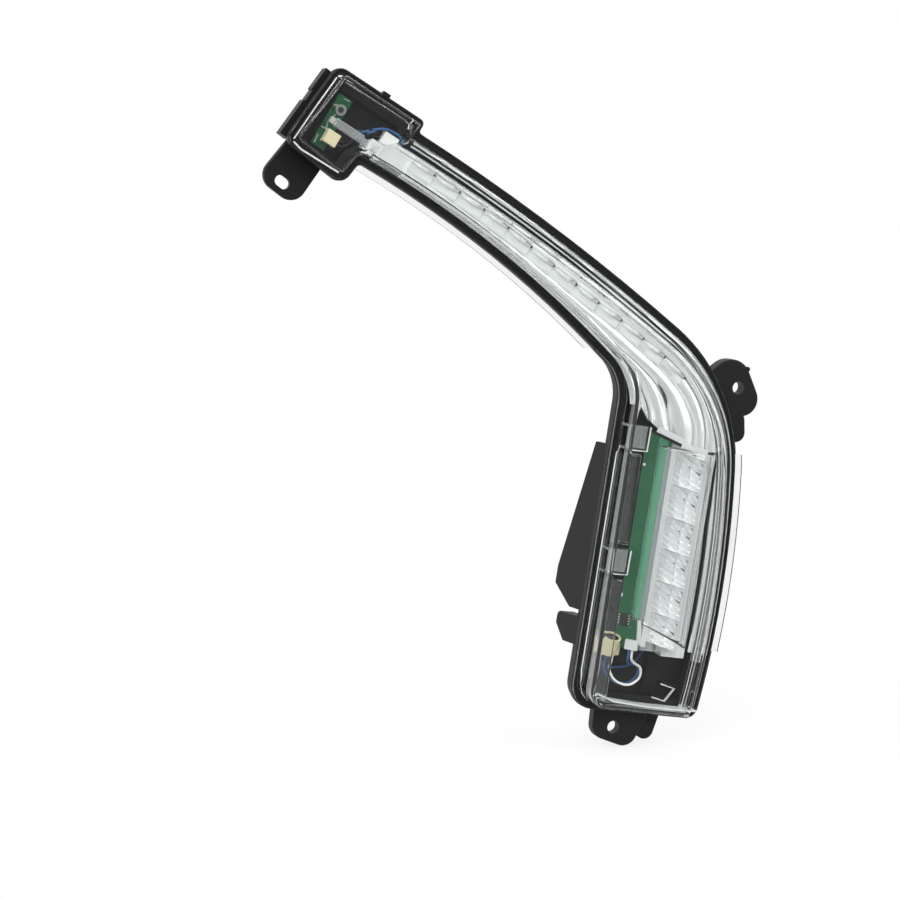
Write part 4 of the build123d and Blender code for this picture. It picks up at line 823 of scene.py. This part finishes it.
def ring_point(centre, radius, angle):
    """Flat point of a circle at an angle in degrees."""
    turn = math.radians(angle)
    return np.array((centre[0] + radius * math.cos(turn), centre[1] + radius * math.sin(turn)))


def outer_line(depths, end=len(OUTER_ARCS)):
    """Flat points along the lamp's outer edge, from the head to the leg, at depths inside it."""
    points = []
    for k in range(int(end * ARC_STEPS) + 1):
        part = k / ARC_STEPS
        arc = min(int(part), len(OUTER_ARCS) - 1)
        centre, radius, start, stop = OUTER_ARCS[arc]
        depth = np.interp(part, *zip(*depths))
        points.append(ring_point(centre, radius - depth, start + (stop - start) * (part - arc)))
    return points


def slot_line(side, end=len(OUTER_ARCS)):
    """Edge of the slot along the outer band: side -1 is nearer the lamp's edge and 1 further in."""
    depths = [
        (part, np.interp(part, *zip(*SLOT_DEPTHS)) + side * np.interp(part, *zip(*SLOT_WIDTHS)) / 2)
        for part in np.linspace(0, len(OUTER_ARCS), SLOT_STEPS)
    ]
    return outer_line(depths, end)


def lower_line(inset, elbow_inset):
    """Flat points along the lamp's lower edge and round the inner elbow, at insets inside it."""
    low_u, low_v = (LOWER_CENTRE - FOOT) @ LEG_RIGHT, (LOWER_CENTRE - FOOT) @ LEG_UP
    reach = LOWER_RADIUS - INNER_ELBOW
    bend = leg_at(-INNER_ELBOW, low_v + math.sqrt(reach**2 - (INNER_ELBOW + low_u) ** 2))
    meet = math.degrees(math.atan2(*(bend - LOWER_CENTRE)[::-1]))
    stop = math.degrees(math.atan2(*LEG_RIGHT[::-1]))
    angles = np.linspace(LOWER_START, meet, LOWER_STEPS)
    points = [ring_point(LOWER_CENTRE, LOWER_RADIUS + inset, a) for a in angles]
    for share in np.linspace(1 / ELBOW_STEPS, 1, ELBOW_STEPS):
        radius = INNER_ELBOW + inset + (elbow_inset - inset) * share
        points.append(ring_point(bend, radius, meet + (stop - meet) * share))
    return points


class RUNNINGLIGHT_OT_arm_trough(bpy.types.Operator):
    """Skin the bright trough of the arm, with its walls, channels and the outer band down the leg"""

    bl_idname = "running_light.arm_trough"
    bl_label = "Arm trough"

    def execute(self, context):
        rows = context.scene.running_light_optics.trough_rows
        lines = {
            name: smooth_path(points, rows)
            for name, points in {
                "ledge": lower_line(*LEDGE_INSETS),
                "wall": lower_line(*WALL_INSETS),
                "lip": LIP_LINE,
                "middle": MIDDLE_LINE,
                "boat_low": BOAT_LOW,
                "boat_high": BOAT_HIGH,
                "slot_low": slot_line(1, SLOT_LOW_END),
                "slot_high": slot_line(-1),
                "band": outer_line(BAND_DEPTHS),
                "rim": outer_line(RIM_DEPTHS),
            }.items()
        }
        bands = [
            ((lines[a], level(*fronts_a)), (lines[b], level(*fronts_b)), crown, steps, [])
            for (a, *fronts_a), (b, *fronts_b), crown, steps in TROUGH_BANDS
        ]
        trough = band_loft("arm_trough", bands, rows, finish_of("metallised", context))
        ride(trough, "metallised", "arm_reflector")
        # Dark strips in the channels: painted dark reflections
        strips(context, "channel_creases", CHANNEL_DARK_REFLECTIONS, "seal_rubber", "metallised")
        return {"FINISHED"}


# One facet of the guide: its rows, its foot and back in mm, and curves over its length or its width
BOAT_GRID = (30, 16)
BOAT_FOOT = 0.3
BOAT_BACK = -0.6
BOAT_CLIMB = ((0, 0.93, 1), (0, 1, 0))
BOAT_FLARE = ((0, 0.15), (0.45, 1))
LIP_ALONG = ((0.08, 0.18, 0.88, 0.94), (0, 1, 1, 0))
LIP_ACROSS = ((0.68, 0.98), (0, 1))

# A dark block at each facet's step, a painted shade, and a bright stroke on each facet, a painted
# highlight, in mm from its tips and its upper side
SHADE_TIP = (4.6, 0.6)
SHADE_SIDE = (1.5, 0.3)
SHADE_FRONT = 0.7
SHADE_BACK = -0.4
STROKE_GRID = (12, 4)
STROKE_ENDS = (4.0, 5.0)
STROKE_SIDE = (2.0, 0.7)
STROKE_RISE = 1.5
STROKE_BACK = 0.2

# The guide's lane along the arm, and the blocks at its start in the head
LANE_ROWS = 120
LANE_SPAN = slice(4, 96)
LANE_FRONT = 7.6
GUIDE_BAR = [(head_place, -38.2, -19, -19.7, -15.5, 6, 10)]
GUIDE_START = [
    (head_place, -19, -12, -21.0, -14.2, 6, 13),
    (head_place, -12, 4.5, -22.4, -12.6, 6, 11.5),
    (head_place, -14.5, -11.5, -24.2, -21.2, 9, 13.5),
]


class RUNNINGLIGHT_OT_light_guide(bpy.types.Operator):
    """Make the clear guide: its bar in the head and its row of boat shaped facets"""

    bl_idname = "running_light.light_guide"
    bl_label = "Light guide"

    def execute(self, context):
        look = context.scene.running_light_optics
        rise, lip = look.boat_rise / MM, look.boat_lip / MM
        tip, side = look.boat_length / MM / 2, look.boat_width / MM / 2
        lane = (smooth_path(BOAT_LOW, LANE_ROWS) + smooth_path(BOAT_HIGH, LANE_ROWS)) / 2

        def boat_front(x, z):
            """Front of a facet: it climbs along the guide, falls back at its end and has a round lip."""
            climb = BOAT_FOOT + rise * np.interp(x, *BOAT_CLIMB)
            ridge = lip * math.sin(math.pi * np.interp(z, *LIP_ACROSS)) * np.interp(x, *LIP_ALONG)
            return climb * np.interp(z, *BOAT_FLARE) + ridge

        def along_lane(name, unit, slot, *replaced):
            """Repeat a unit along the middle of the guide's lane and fix the row to the lamp."""
            material = unit.data.materials[0]
            row = path_piece(name, [raised(p, LANE_FRONT) for p in lane[LANE_SPAN]], material)
            repeat(row, material, look.boat_count, unit=unit)
            ride(row, slot, *replaced)

        boat = relief_block(
            "boat",
            np.linspace(-tip, tip, BOAT_GRID[0]),
            np.linspace(-side, side, BOAT_GRID[1]),
            boat_front,
            BOAT_BACK,
            finish_of("guide_clear", context),
        )
        along_lane("guide_facets", boat, "guide_clear", "light_guide")
        # A black block on each facet's step: painted shade
        notch = relief_block(
            "notch",
            np.linspace(*np.subtract(tip, SHADE_TIP), 2),
            np.linspace(*np.subtract(side, SHADE_SIDE), 2),
            lambda x, z: rise + SHADE_FRONT,
            rise + SHADE_BACK,
            finish_of("chip_black", context),
        )
        along_lane("guide_notches", notch, "chip_black")
        # A bright metal stroke on each facet: a painted highlight
        stroke = relief_block(
            "stroke",
            np.linspace(STROKE_ENDS[0] - tip, tip - STROKE_ENDS[1], STROKE_GRID[0]),
            np.linspace(*np.subtract(side, STROKE_SIDE), STROKE_GRID[1]),
            lambda x, z: rise * x + STROKE_RISE * math.sin(math.pi * x) ** 0.5,
            STROKE_BACK,
            finish_of("metallised", context),
        )
        along_lane("guide_strokes", stroke, "metallised")
        blocks(context, "guide_bar", GUIDE_BAR, "guide_bar", "guide_clear", edge=0.4)
        blocks(context, "guide_start", GUIDE_START, "guide_clear", "guide_clear", edge=0.6)
        return {"FINISHED"}


# The row of cells in the leg's own axes, and dark spots given on its lowest cell: painted dark reflections
# in its facets
CELL_LEFT = 35.0
CELL_LOW = 37.0
CELL_WIDTH = 17.2
CELL_GRID = 61
CELL_DARK_REFLECTIONS = [
    (leg_place, [(48.6, 45.0), (50.8, 43.8)], (0.3, 0.8), 14.4, 14.8),
    (leg_place, [(50.0, 50.2), (51.6, 48.6)], (0.8, 0.3), 14.6, 15.0),
    (leg_place, [(44.2, 47.2), (45.2, 46.8)], 0.4, 13.6, 14.0),
]

# Shape of one cell: its floor, climb and bowl in mm, the rise of a pillow's row and a rib near the top
CELL_FLOOR = 9.0
CELL_CLIMB = 4.0
CELL_BOWL = 2.4
PILLOW_SCALE = ((0, 0.8, 1), (0, 1, 0))
CELL_RIB = ((0.93, 0.96, 0.99), (0, 1.8, 0))

# Base, right wall, white strip, lower end and upper end of the cells
CELL_BASE = [
    (leg_place, 31.5, 57, 31.5, 140.2, -2, 0),
    (leg_place, 52.4, 53.4, 37, 138, 0, 13.5),
    (leg_place, 31.3, 34.2, 36, 139.5, 0, 18.4),
    (leg_place, 47.4, 60.6, 31.0, 38.6, 2, 10),
    (leg_place, 33.5, 57, 139.5, 157, 3, 5.5),
]

# Pale ledge between the cells and the black seam, and that seam, at depths inside the outer edge
SHELF_ROWS = 60
SHELF_STEPS = 6
SHELF_SPAN = (140, 33)
SHELF_DEPTHS = (21.6, 14.3)
SHELF_FRONT = 9.4
SHELF_CROWN = 0.3
SEAM_DEPTH = 13.3
SEAM_HEIGHTS = np.linspace(132, 44, 40)
BAND_SEAM = [
    (leg_place, [(outer_edge(v) - SEAM_DEPTH, v) for v in SEAM_HEIGHTS], 0.8, 10.4, 10.8),
    (leg_place, [(17.0, 147.4), (22.9, 145.8), (35.4, 142.0)], 1.6, 19.8, 20.6),
]

# The cover leans on the board, arches over the cells and has its lower end cut on a slant. Its lines
# are at a distance u, at a front, and end at a height.
COVER_ROWS = 40
COVER_STEPS = (16, 4)
COVER_TOP = 140.6
COVER_LINES = [(24.9, 15.2, 50), (55.6, 20.0, 38), (56.2, 13.6, 37.6)]
COVER_CROWN = 5.2
COVER_FOOT = [(leg_place, 28.8, 31.2, 50, 140, 17.4, 18.6)]
COVER_BRACKET = [(leg_place, [(29.0, 49.8), (30.6, 36.8)], 2.0, 17, 18.4)]
COVER_RAIL = [
    (leg_place, [(34.5, 142.6), (42, 141.2), (49.5, 140.4)], 3.0, 22.4, 23.0),
    (leg_place, [(21.0, 148.6), (36.4, 143.8)], 3.6, 19.6, 20.2),
]


class RUNNINGLIGHT_OT_leg_cells(bpy.types.Operator):
    """Make the six faceted cells of the leg, the strips beside them and the clear cover over them"""

    bl_idname = "running_light.leg_cells"
    bl_label = "Leg cells"

    def execute(self, context):
        look = context.scene.running_light_optics
        material = finish_of("cell_metal_painted_bright", context)
        pitch = look.cell_pitch / MM
        slant = look.cell_slant / MM
        pillow = look.pillow_rise / MM

        def cell_front(a, b):
            """Front of a cell: a shallow bowl that climbs away from the board, with slanted pillows."""
            bowl = CELL_FLOOR + CELL_CLIMB * a + CELL_BOWL * (2 * b - 1) ** 2
            column = a * look.pillow_columns
            row = b * look.pillow_rows + 0.5 * (int(column) % 2) + 0.5 * (column % 1.0)
            p, q = column % 1.0, row % 1.0
            bump = pillow * math.sqrt(4 * p * (1 - p)) * np.interp(q, *PILLOW_SCALE)
            return bowl + bump + np.interp(b, *CELL_RIB)

        cell = relief_block(
            "leg_cells",
            np.linspace(0, CELL_WIDTH, CELL_GRID),
            np.linspace(0, pitch, CELL_GRID),
            cell_front,
            0.0,
            material,
        )
        corner = leg_at(CELL_LEFT, CELL_LOW - slant / 2)
        for vertex in cell.data.vertices:
            u, v = vertex.co.x / MM, vertex.co.z / MM
            flat = corner + LEG_RIGHT * u + LEG_UP * (v + slant * (1 - u / CELL_WIDTH))
            vertex.co = (flat[0] * MM, vertex.co.y, flat[1] * MM)
        step = (LEG_UP[0] * look.cell_pitch, 0.0, LEG_UP[1] * look.cell_pitch)
        repeat(cell, material, look.cell_count, step=step)
        ride(cell, "metallised", "leg_reflector")
        # Dark spots repeated on every cell: painted dark reflections in its facets
        dark = finish_of("seal_rubber", context)
        dark_reflections = ribbon_piece("cell_specks", CELL_DARK_REFLECTIONS, dark)
        repeat(dark_reflections, dark, look.cell_count, step=step)
        ride(dark_reflections, "metallised")
        blocks(context, "cell_base", CELL_BASE, "cell_metal_painted_bright", "metallised", edge=0.4)
        heights = np.linspace(*SHELF_SPAN, SHELF_ROWS)
        sides = [
            (np.array([leg_at(outer_edge(v) - depth, v) for v in heights]), level(SHELF_FRONT))
            for depth in SHELF_DEPTHS
        ]
        shelf = [(*sides, level(SHELF_CROWN), SHELF_STEPS, [])]
        ledge = band_loft("leg_ledge", shelf, SHELF_ROWS, material)
        ride(ledge, "metallised")
        blocks(context, "cover_foot", COVER_FOOT, "board_edge", "board_green", edge=0.2)
        strips(context, "cover_bracket", COVER_BRACKET, "cell_metal_painted_bright", "metallised")
        strips(context, "cover_rail", COVER_RAIL, "cell_metal_painted_bright", "metallised")
        strips(context, "band_seam", BAND_SEAM, "housing_black", "housing_black")
        sides = [
            (np.array([leg_at(u, v) for v in np.linspace(COVER_TOP, low, COVER_ROWS)]), level(front))
            for u, front, low in COVER_LINES
        ]
        cover = band_loft(
            "leg_cover",
            [
                (sides[0], sides[1], level(COVER_CROWN), COVER_STEPS[0], []),
                (sides[1], sides[2], level(0), COVER_STEPS[1], []),
            ],
            COVER_ROWS,
            finish_of("cover_clear", context),
        )
        ride(cover, "lens_clear", "inner_lens")
        return {"FINISHED"}


# Bright copper and solder on the boards, the ring round the head's screw, and a black disc in its socket
# that is painted shade
HEAD_SCREW = (-38.2, -11.0)
TRACK_FACE = (4.55, 4.75)
PAD_FACE = (-0.1, 0.2)
BOARD_TRACKS = [
    (head_place, [ring_point(HEAD_SCREW, 2.3, a) for a in np.linspace(0, 360, 25)], 0.9, 6.2, 6.6),
    (head_place, [(-38.8, -13.4), (-39.4, -15.4), (-40.4, -19.0), (-39.6, -22.0)], 0.8, *TRACK_FACE),
    (head_place, [(-42.2, -22.6), (-38.0, -22.2)], 0.7, *TRACK_FACE),
    (head_place, [(-42.2, -10.6), (-40.2, -9.4)], 0.9, *TRACK_FACE),
    (head_place, [(-41.6, -26.6), (-41.0, -31.0)], 0.9, *TRACK_FACE),
    (head_place, [(-39.4, -5.2), (-36.2, -4.8)], 0.7, *TRACK_FACE),
    (board_place, [(1.0, 94.6), (1.0, 96.0)], 1.4, *PAD_FACE),
    (board_place, [(0.4, 41.0), (0.4, 43.4)], 0.8, *PAD_FACE),
    (board_place, [(0.4, 26.0), (0.4, 27.8)], 0.8, *PAD_FACE),
]
BOARD_LAND = [(board_place, [(9.3, 17), (9.3, 112)], 4.9, -0.1, 0.12)]
SCREW_SOCKET_SHADE = [
    (head_place, [ring_point(HEAD_SCREW, 0.8, a) for a in np.linspace(0, 360, 17)], 1.2, 6.2, 6.7),
]


class RUNNINGLIGHT_OT_boards(bpy.types.Operator):
    """Finish the circuit boards and the parts on them"""

    bl_idname = "running_light.boards"
    bl_label = "Circuit boards"

    def execute(self, context):
        dress(["leg_circuit_board", "head_circuit_board"], "board_green", context)
        dress(["leg_driver_chip"], "chip_black", context)
        dress(["driver_chip_leads"], "tinned", context)
        dress(["leg_resistors"], "ceramic", context)
        dress(["leg_leds", "guide_led"], "led_package", context)
        strips(context, "board_tracks", BOARD_TRACKS, "tinned", "tinned")
        strips(context, "board_land", BOARD_LAND, "board_land", "board_green")
        # A black disc in the screw's socket: painted shade
        strips(context, "screw_socket", SCREW_SOCKET_SHADE, "chip_black", "screw_steel")
        return {"FINISHED"}


# The cream header at the foot of the leg board: a cup that leans to the front, a black lining in its mouth
# that is painted shade, and its foot.
# The cup and the shade lining are an outer and an inner radius, the depth of the hollow and the length.
HEADER_PLACE = (17.4, 30.6, 9.6)
HEADER_LEAN = 0.42
HEADER_CUP = ((4.7, 3.7), 5.0, 9.4)
HEADER_MOUTH_SHADE = ((3.66, 3.2), 1.0, 8.8)
HEADER_FOOT = [(leg_place, 17.5, 22.6, 29.6, 36.0, 8, 13.6)]


class RUNNINGLIGHT_OT_wiring(bpy.types.Operator):
    """Finish the connectors and wires"""

    bl_idname = "running_light.wiring"
    bl_label = "Wiring"

    def execute(self, context):
        dress(["head_header"], "nylon_cream", context)
        middle = leg_place(*HEADER_PLACE)
        up = leg_place(0, 1, 0) - leg_place(0, 0, 0)
        axis = (up.x, up.y - HEADER_LEAN * up.length, up.z)
        cream, dark = finish_of("nylon_cream", context), finish_of("chip_black", context)
        cup = cup_piece("leg_header_cup", middle, axis, *HEADER_CUP, cream)
        ride(cup, "nylon_cream", "leg_header")
        # A black lining inside the cream cup's mouth: painted shade in its hollow
        ride(cup_piece("leg_header_mouth", middle, axis, *HEADER_MOUTH_SHADE, dark), "chip_black")
        blocks(context, "leg_header_foot", HEADER_FOOT, "nylon_cream", "nylon_cream", edge=0.6)
        dress(["inline_connector"], "nylon_white", context)
        dress(["leg_plug"], "nylon_grey", context)
        dress(["white_jumper_wire"], "wire_white", context)
        dress(["blue_jumper_wire", "blue_supply_wire"], "wire_blue", context)
        dress(["blue_head_wire"], "wire_sleeved", context)
        dress(["black_board_wire", "black_return_wire"], "wire_black", context)
        return {"FINISHED"}


# The stage, in metres: the floor disc, where its shadow fades out, the lamps and the camera
FLOOR_MIDDLE = (-0.08, 0.4)
FLOOR_REACH = 0.46
FLOOR_GAP = 0.0005
SHADOW_MIDDLE = (-0.07, 0.0)
SHADOW_REACH = 0.25
LAMP_AIM = (-0.12, -0.02, -0.01)
KEY_PLACE = (-1.0, -1.1, 1.2)
KEY_SIZE = 1.1
FILL_PLACE = (1.2, -0.9, 0.5)
FILL_SIZE = 1.0
CAMERA_PLACE = (-0.527279, -1.144761, 0.120232)

# Sides of the disc, its linear colours, its glow in the shadow, and the sensor's width in mm
FLOOR_SIDES = 96
PAPER = [0.8, 0.8, 0.8, 1.0]
WHITE = [1.0, 1.0, 1.0, 1.0]
SHADOW_GLOW = 0.8
SENSOR_WIDTH = 36.0

# The dark studio ahead of the lamp: its direction, and the cosines between which it darkens
STUDIO_AHEAD = (0.2, -0.96, -0.12)
STUDIO_EDGE = (0.6, 0.95)


def soft_box(name, place, aim, size, power):
    """Hang a square soft box that faces a point."""
    light = bpy.data.lights.new(name, "AREA")
    light.energy = power
    light.size = size
    box = bpy.data.objects.new(name, light)
    box.location = place
    box.rotation_euler = (Vector(aim) - Vector(place)).to_track_quat("-Z", "Y").to_euler()
    bpy.context.scene.collection.objects.link(box)


class RUNNINGLIGHT_OT_stage(bpy.types.Operator):
    """Set the floor, the light and the camera"""

    bl_idname = "running_light.stage"
    bl_label = "Stage"

    def execute(self, context):
        scene = context.scene
        stage = scene.running_light_stage
        scene.view_settings.view_transform = "Standard"
        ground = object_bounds()[0].z

        mesh = bpy.data.meshes.new("floor")
        middle_x, middle_y = FLOOR_MIDDLE
        corners = [
            (math.cos(a) * FLOOR_REACH + middle_x, math.sin(a) * FLOOR_REACH + middle_y, ground - FLOOR_GAP)
            for a in (math.tau * k / FLOOR_SIDES for k in range(FLOOR_SIDES))
        ]
        mesh.from_pydata(corners, [], [tuple(range(FLOOR_SIDES))])
        floor = bpy.data.objects.new("floor", mesh)
        scene.collection.objects.link(floor)
        # White paper: matt, it keeps a soft shadow under the lamp and runs out into the white backdrop.
        material, tree, output = blank_material("paper sweep, matt white")
        paper = add_node(tree, "ShaderNodeBsdfDiffuse", {"Color": PAPER})
        glow = add_node(tree, "ShaderNodeEmission", {"Color": WHITE, "Strength": 1.0})
        place = add_node(tree, "ShaderNodeTexCoord")
        from_lamp = add_node(
            tree,
            "ShaderNodeVectorMath",
            {0: place.outputs["Object"], 1: (*SHADOW_MIDDLE, ground)},
            operation="DISTANCE",
        )
        fade = add_node(
            tree,
            "ShaderNodeMapRange",
            {"Value": from_lamp.outputs["Value"], 1: 0.0, 2: SHADOW_REACH, 3: SHADOW_GLOW, 4: 1.0},
            interpolation_type="SMOOTHSTEP",
        )
        path = add_node(tree, "ShaderNodeLightPath")
        seen = add_node(
            tree,
            "ShaderNodeMath",
            {0: path.outputs["Is Camera Ray"], 1: fade.outputs["Result"]},
            operation="MULTIPLY",
        )
        mix = add_node(
            tree,
            "ShaderNodeMixShader",
            {0: seen.outputs[0], 1: paper.outputs["BSDF"], 2: glow.outputs["Emission"]},
        )
        tree.links.new(mix.outputs["Shader"], output.inputs["Surface"])
        mesh.materials.append(material)
        floor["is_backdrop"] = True

        world = bpy.data.worlds.new("studio")
        scene.world = world
        world.use_nodes = True
        tree = world.node_tree
        tree.nodes.clear()
        output = add_node(tree, "ShaderNodeOutputWorld")
        place = add_node(tree, "ShaderNodeTexCoord")
        # A dark patch in front of the lamp, as of a studio behind the photographer, with white all round.
        ahead = add_node(
            tree,
            "ShaderNodeVectorMath",
            {0: place.outputs["Generated"], 1: STUDIO_AHEAD},
            operation="DOT_PRODUCT",
        )
        patch = add_node(
            tree,
            "ShaderNodeMapRange",
            {
                "Value": ahead.outputs["Value"],
                1: STUDIO_EDGE[0],
                2: STUDIO_EDGE[1],
                3: stage.surround,
                4: stage.dark_patch,
            },
            interpolation_type="SMOOTHSTEP",
        )
        path = add_node(tree, "ShaderNodeLightPath")
        brightness = add_node(
            tree,
            "ShaderNodeMath",
            {0: path.outputs["Is Camera Ray"], 1: patch.outputs["Result"]},
            operation="MAXIMUM",
        )
        sky = add_node(
            tree,
            "ShaderNodeBackground",
            {"Color": WHITE, "Strength": brightness.outputs[0]},
        )
        tree.links.new(sky.outputs["Background"], output.inputs["Surface"])

        soft_box("key soft box", KEY_PLACE, LAMP_AIM, KEY_SIZE, stage.key_power)
        soft_box("fill soft box", FILL_PLACE, LAMP_AIM, FILL_SIZE, stage.fill_power)

        lens = bpy.data.cameras.new("camera")
        lens.sensor_width = SENSOR_WIDTH
        lens.lens = stage.focal_length
        camera = bpy.data.objects.new("camera", lens)
        turn, lift = stage.camera_turn, stage.camera_lift
        back = Vector(
            (math.sin(turn) * math.cos(lift), -math.cos(turn) * math.cos(lift), math.sin(lift))
        )
        camera.location = CAMERA_PLACE
        camera.rotation_euler = (-back).to_track_quat("-Z", "Y").to_euler()
        scene.collection.objects.link(camera)
        scene.camera = camera
        return {"FINISHED"}


class RUNNINGLIGHT_PT_panel(bpy.types.Panel):
    """List the lamp's values and steps"""

    bl_label = "Running light"
    bl_idname = "RUNNINGLIGHT_PT_panel"
    bl_space_type = "VIEW_3D"
    bl_region_type = "UI"
    bl_category = "Running light"

    def draw(self, context):
        for group in (getattr(context.scene, name) for name in GROUPS):
            for name in group.__annotations__:
                self.layout.prop(group, name)
        for step in STEPS:
            self.layout.operator(step.bl_idname)


GROUPS = {
    "running_light_finish": RunningLightFinish,
    "running_light_optics": RunningLightOptics,
    "running_light_stage": RunningLightStage,
}
STEPS = [
    RUNNINGLIGHT_OT_housing,
    RUNNINGLIGHT_OT_outer_lens,
    RUNNINGLIGHT_OT_arm_trough,
    RUNNINGLIGHT_OT_light_guide,
    RUNNINGLIGHT_OT_leg_cells,
    RUNNINGLIGHT_OT_boards,
    RUNNINGLIGHT_OT_wiring,
    RUNNINGLIGHT_OT_stage,
]


def register():
    """Register the property groups, the operators and the panel."""
    for name, group in GROUPS.items():
        bpy.utils.register_class(group)
        setattr(bpy.types.Scene, name, bpy.props.PointerProperty(type=group))
    for step in STEPS:
        bpy.utils.register_class(step)
    bpy.utils.register_class(RUNNINGLIGHT_PT_panel)


def unregister():
    """Take the panel, the operators and the property groups out again."""
    bpy.utils.unregister_class(RUNNINGLIGHT_PT_panel)
    for step in reversed(STEPS):
        bpy.utils.unregister_class(step)
    for name, group in GROUPS.items():
        delattr(bpy.types.Scene, name)
        bpy.utils.unregister_class(group)


def main():
    """Build the lamp's looks on the CAD frame."""
    register()
    bpy.ops.running_light.housing()
    bpy.ops.running_light.outer_lens()
    bpy.ops.running_light.arm_trough()
    bpy.ops.running_light.light_guide()
    bpy.ops.running_light.leg_cells()
    bpy.ops.running_light.boards()
    bpy.ops.running_light.wiring()
    bpy.ops.running_light.stage()


if __name__ == "__main__":
    main()
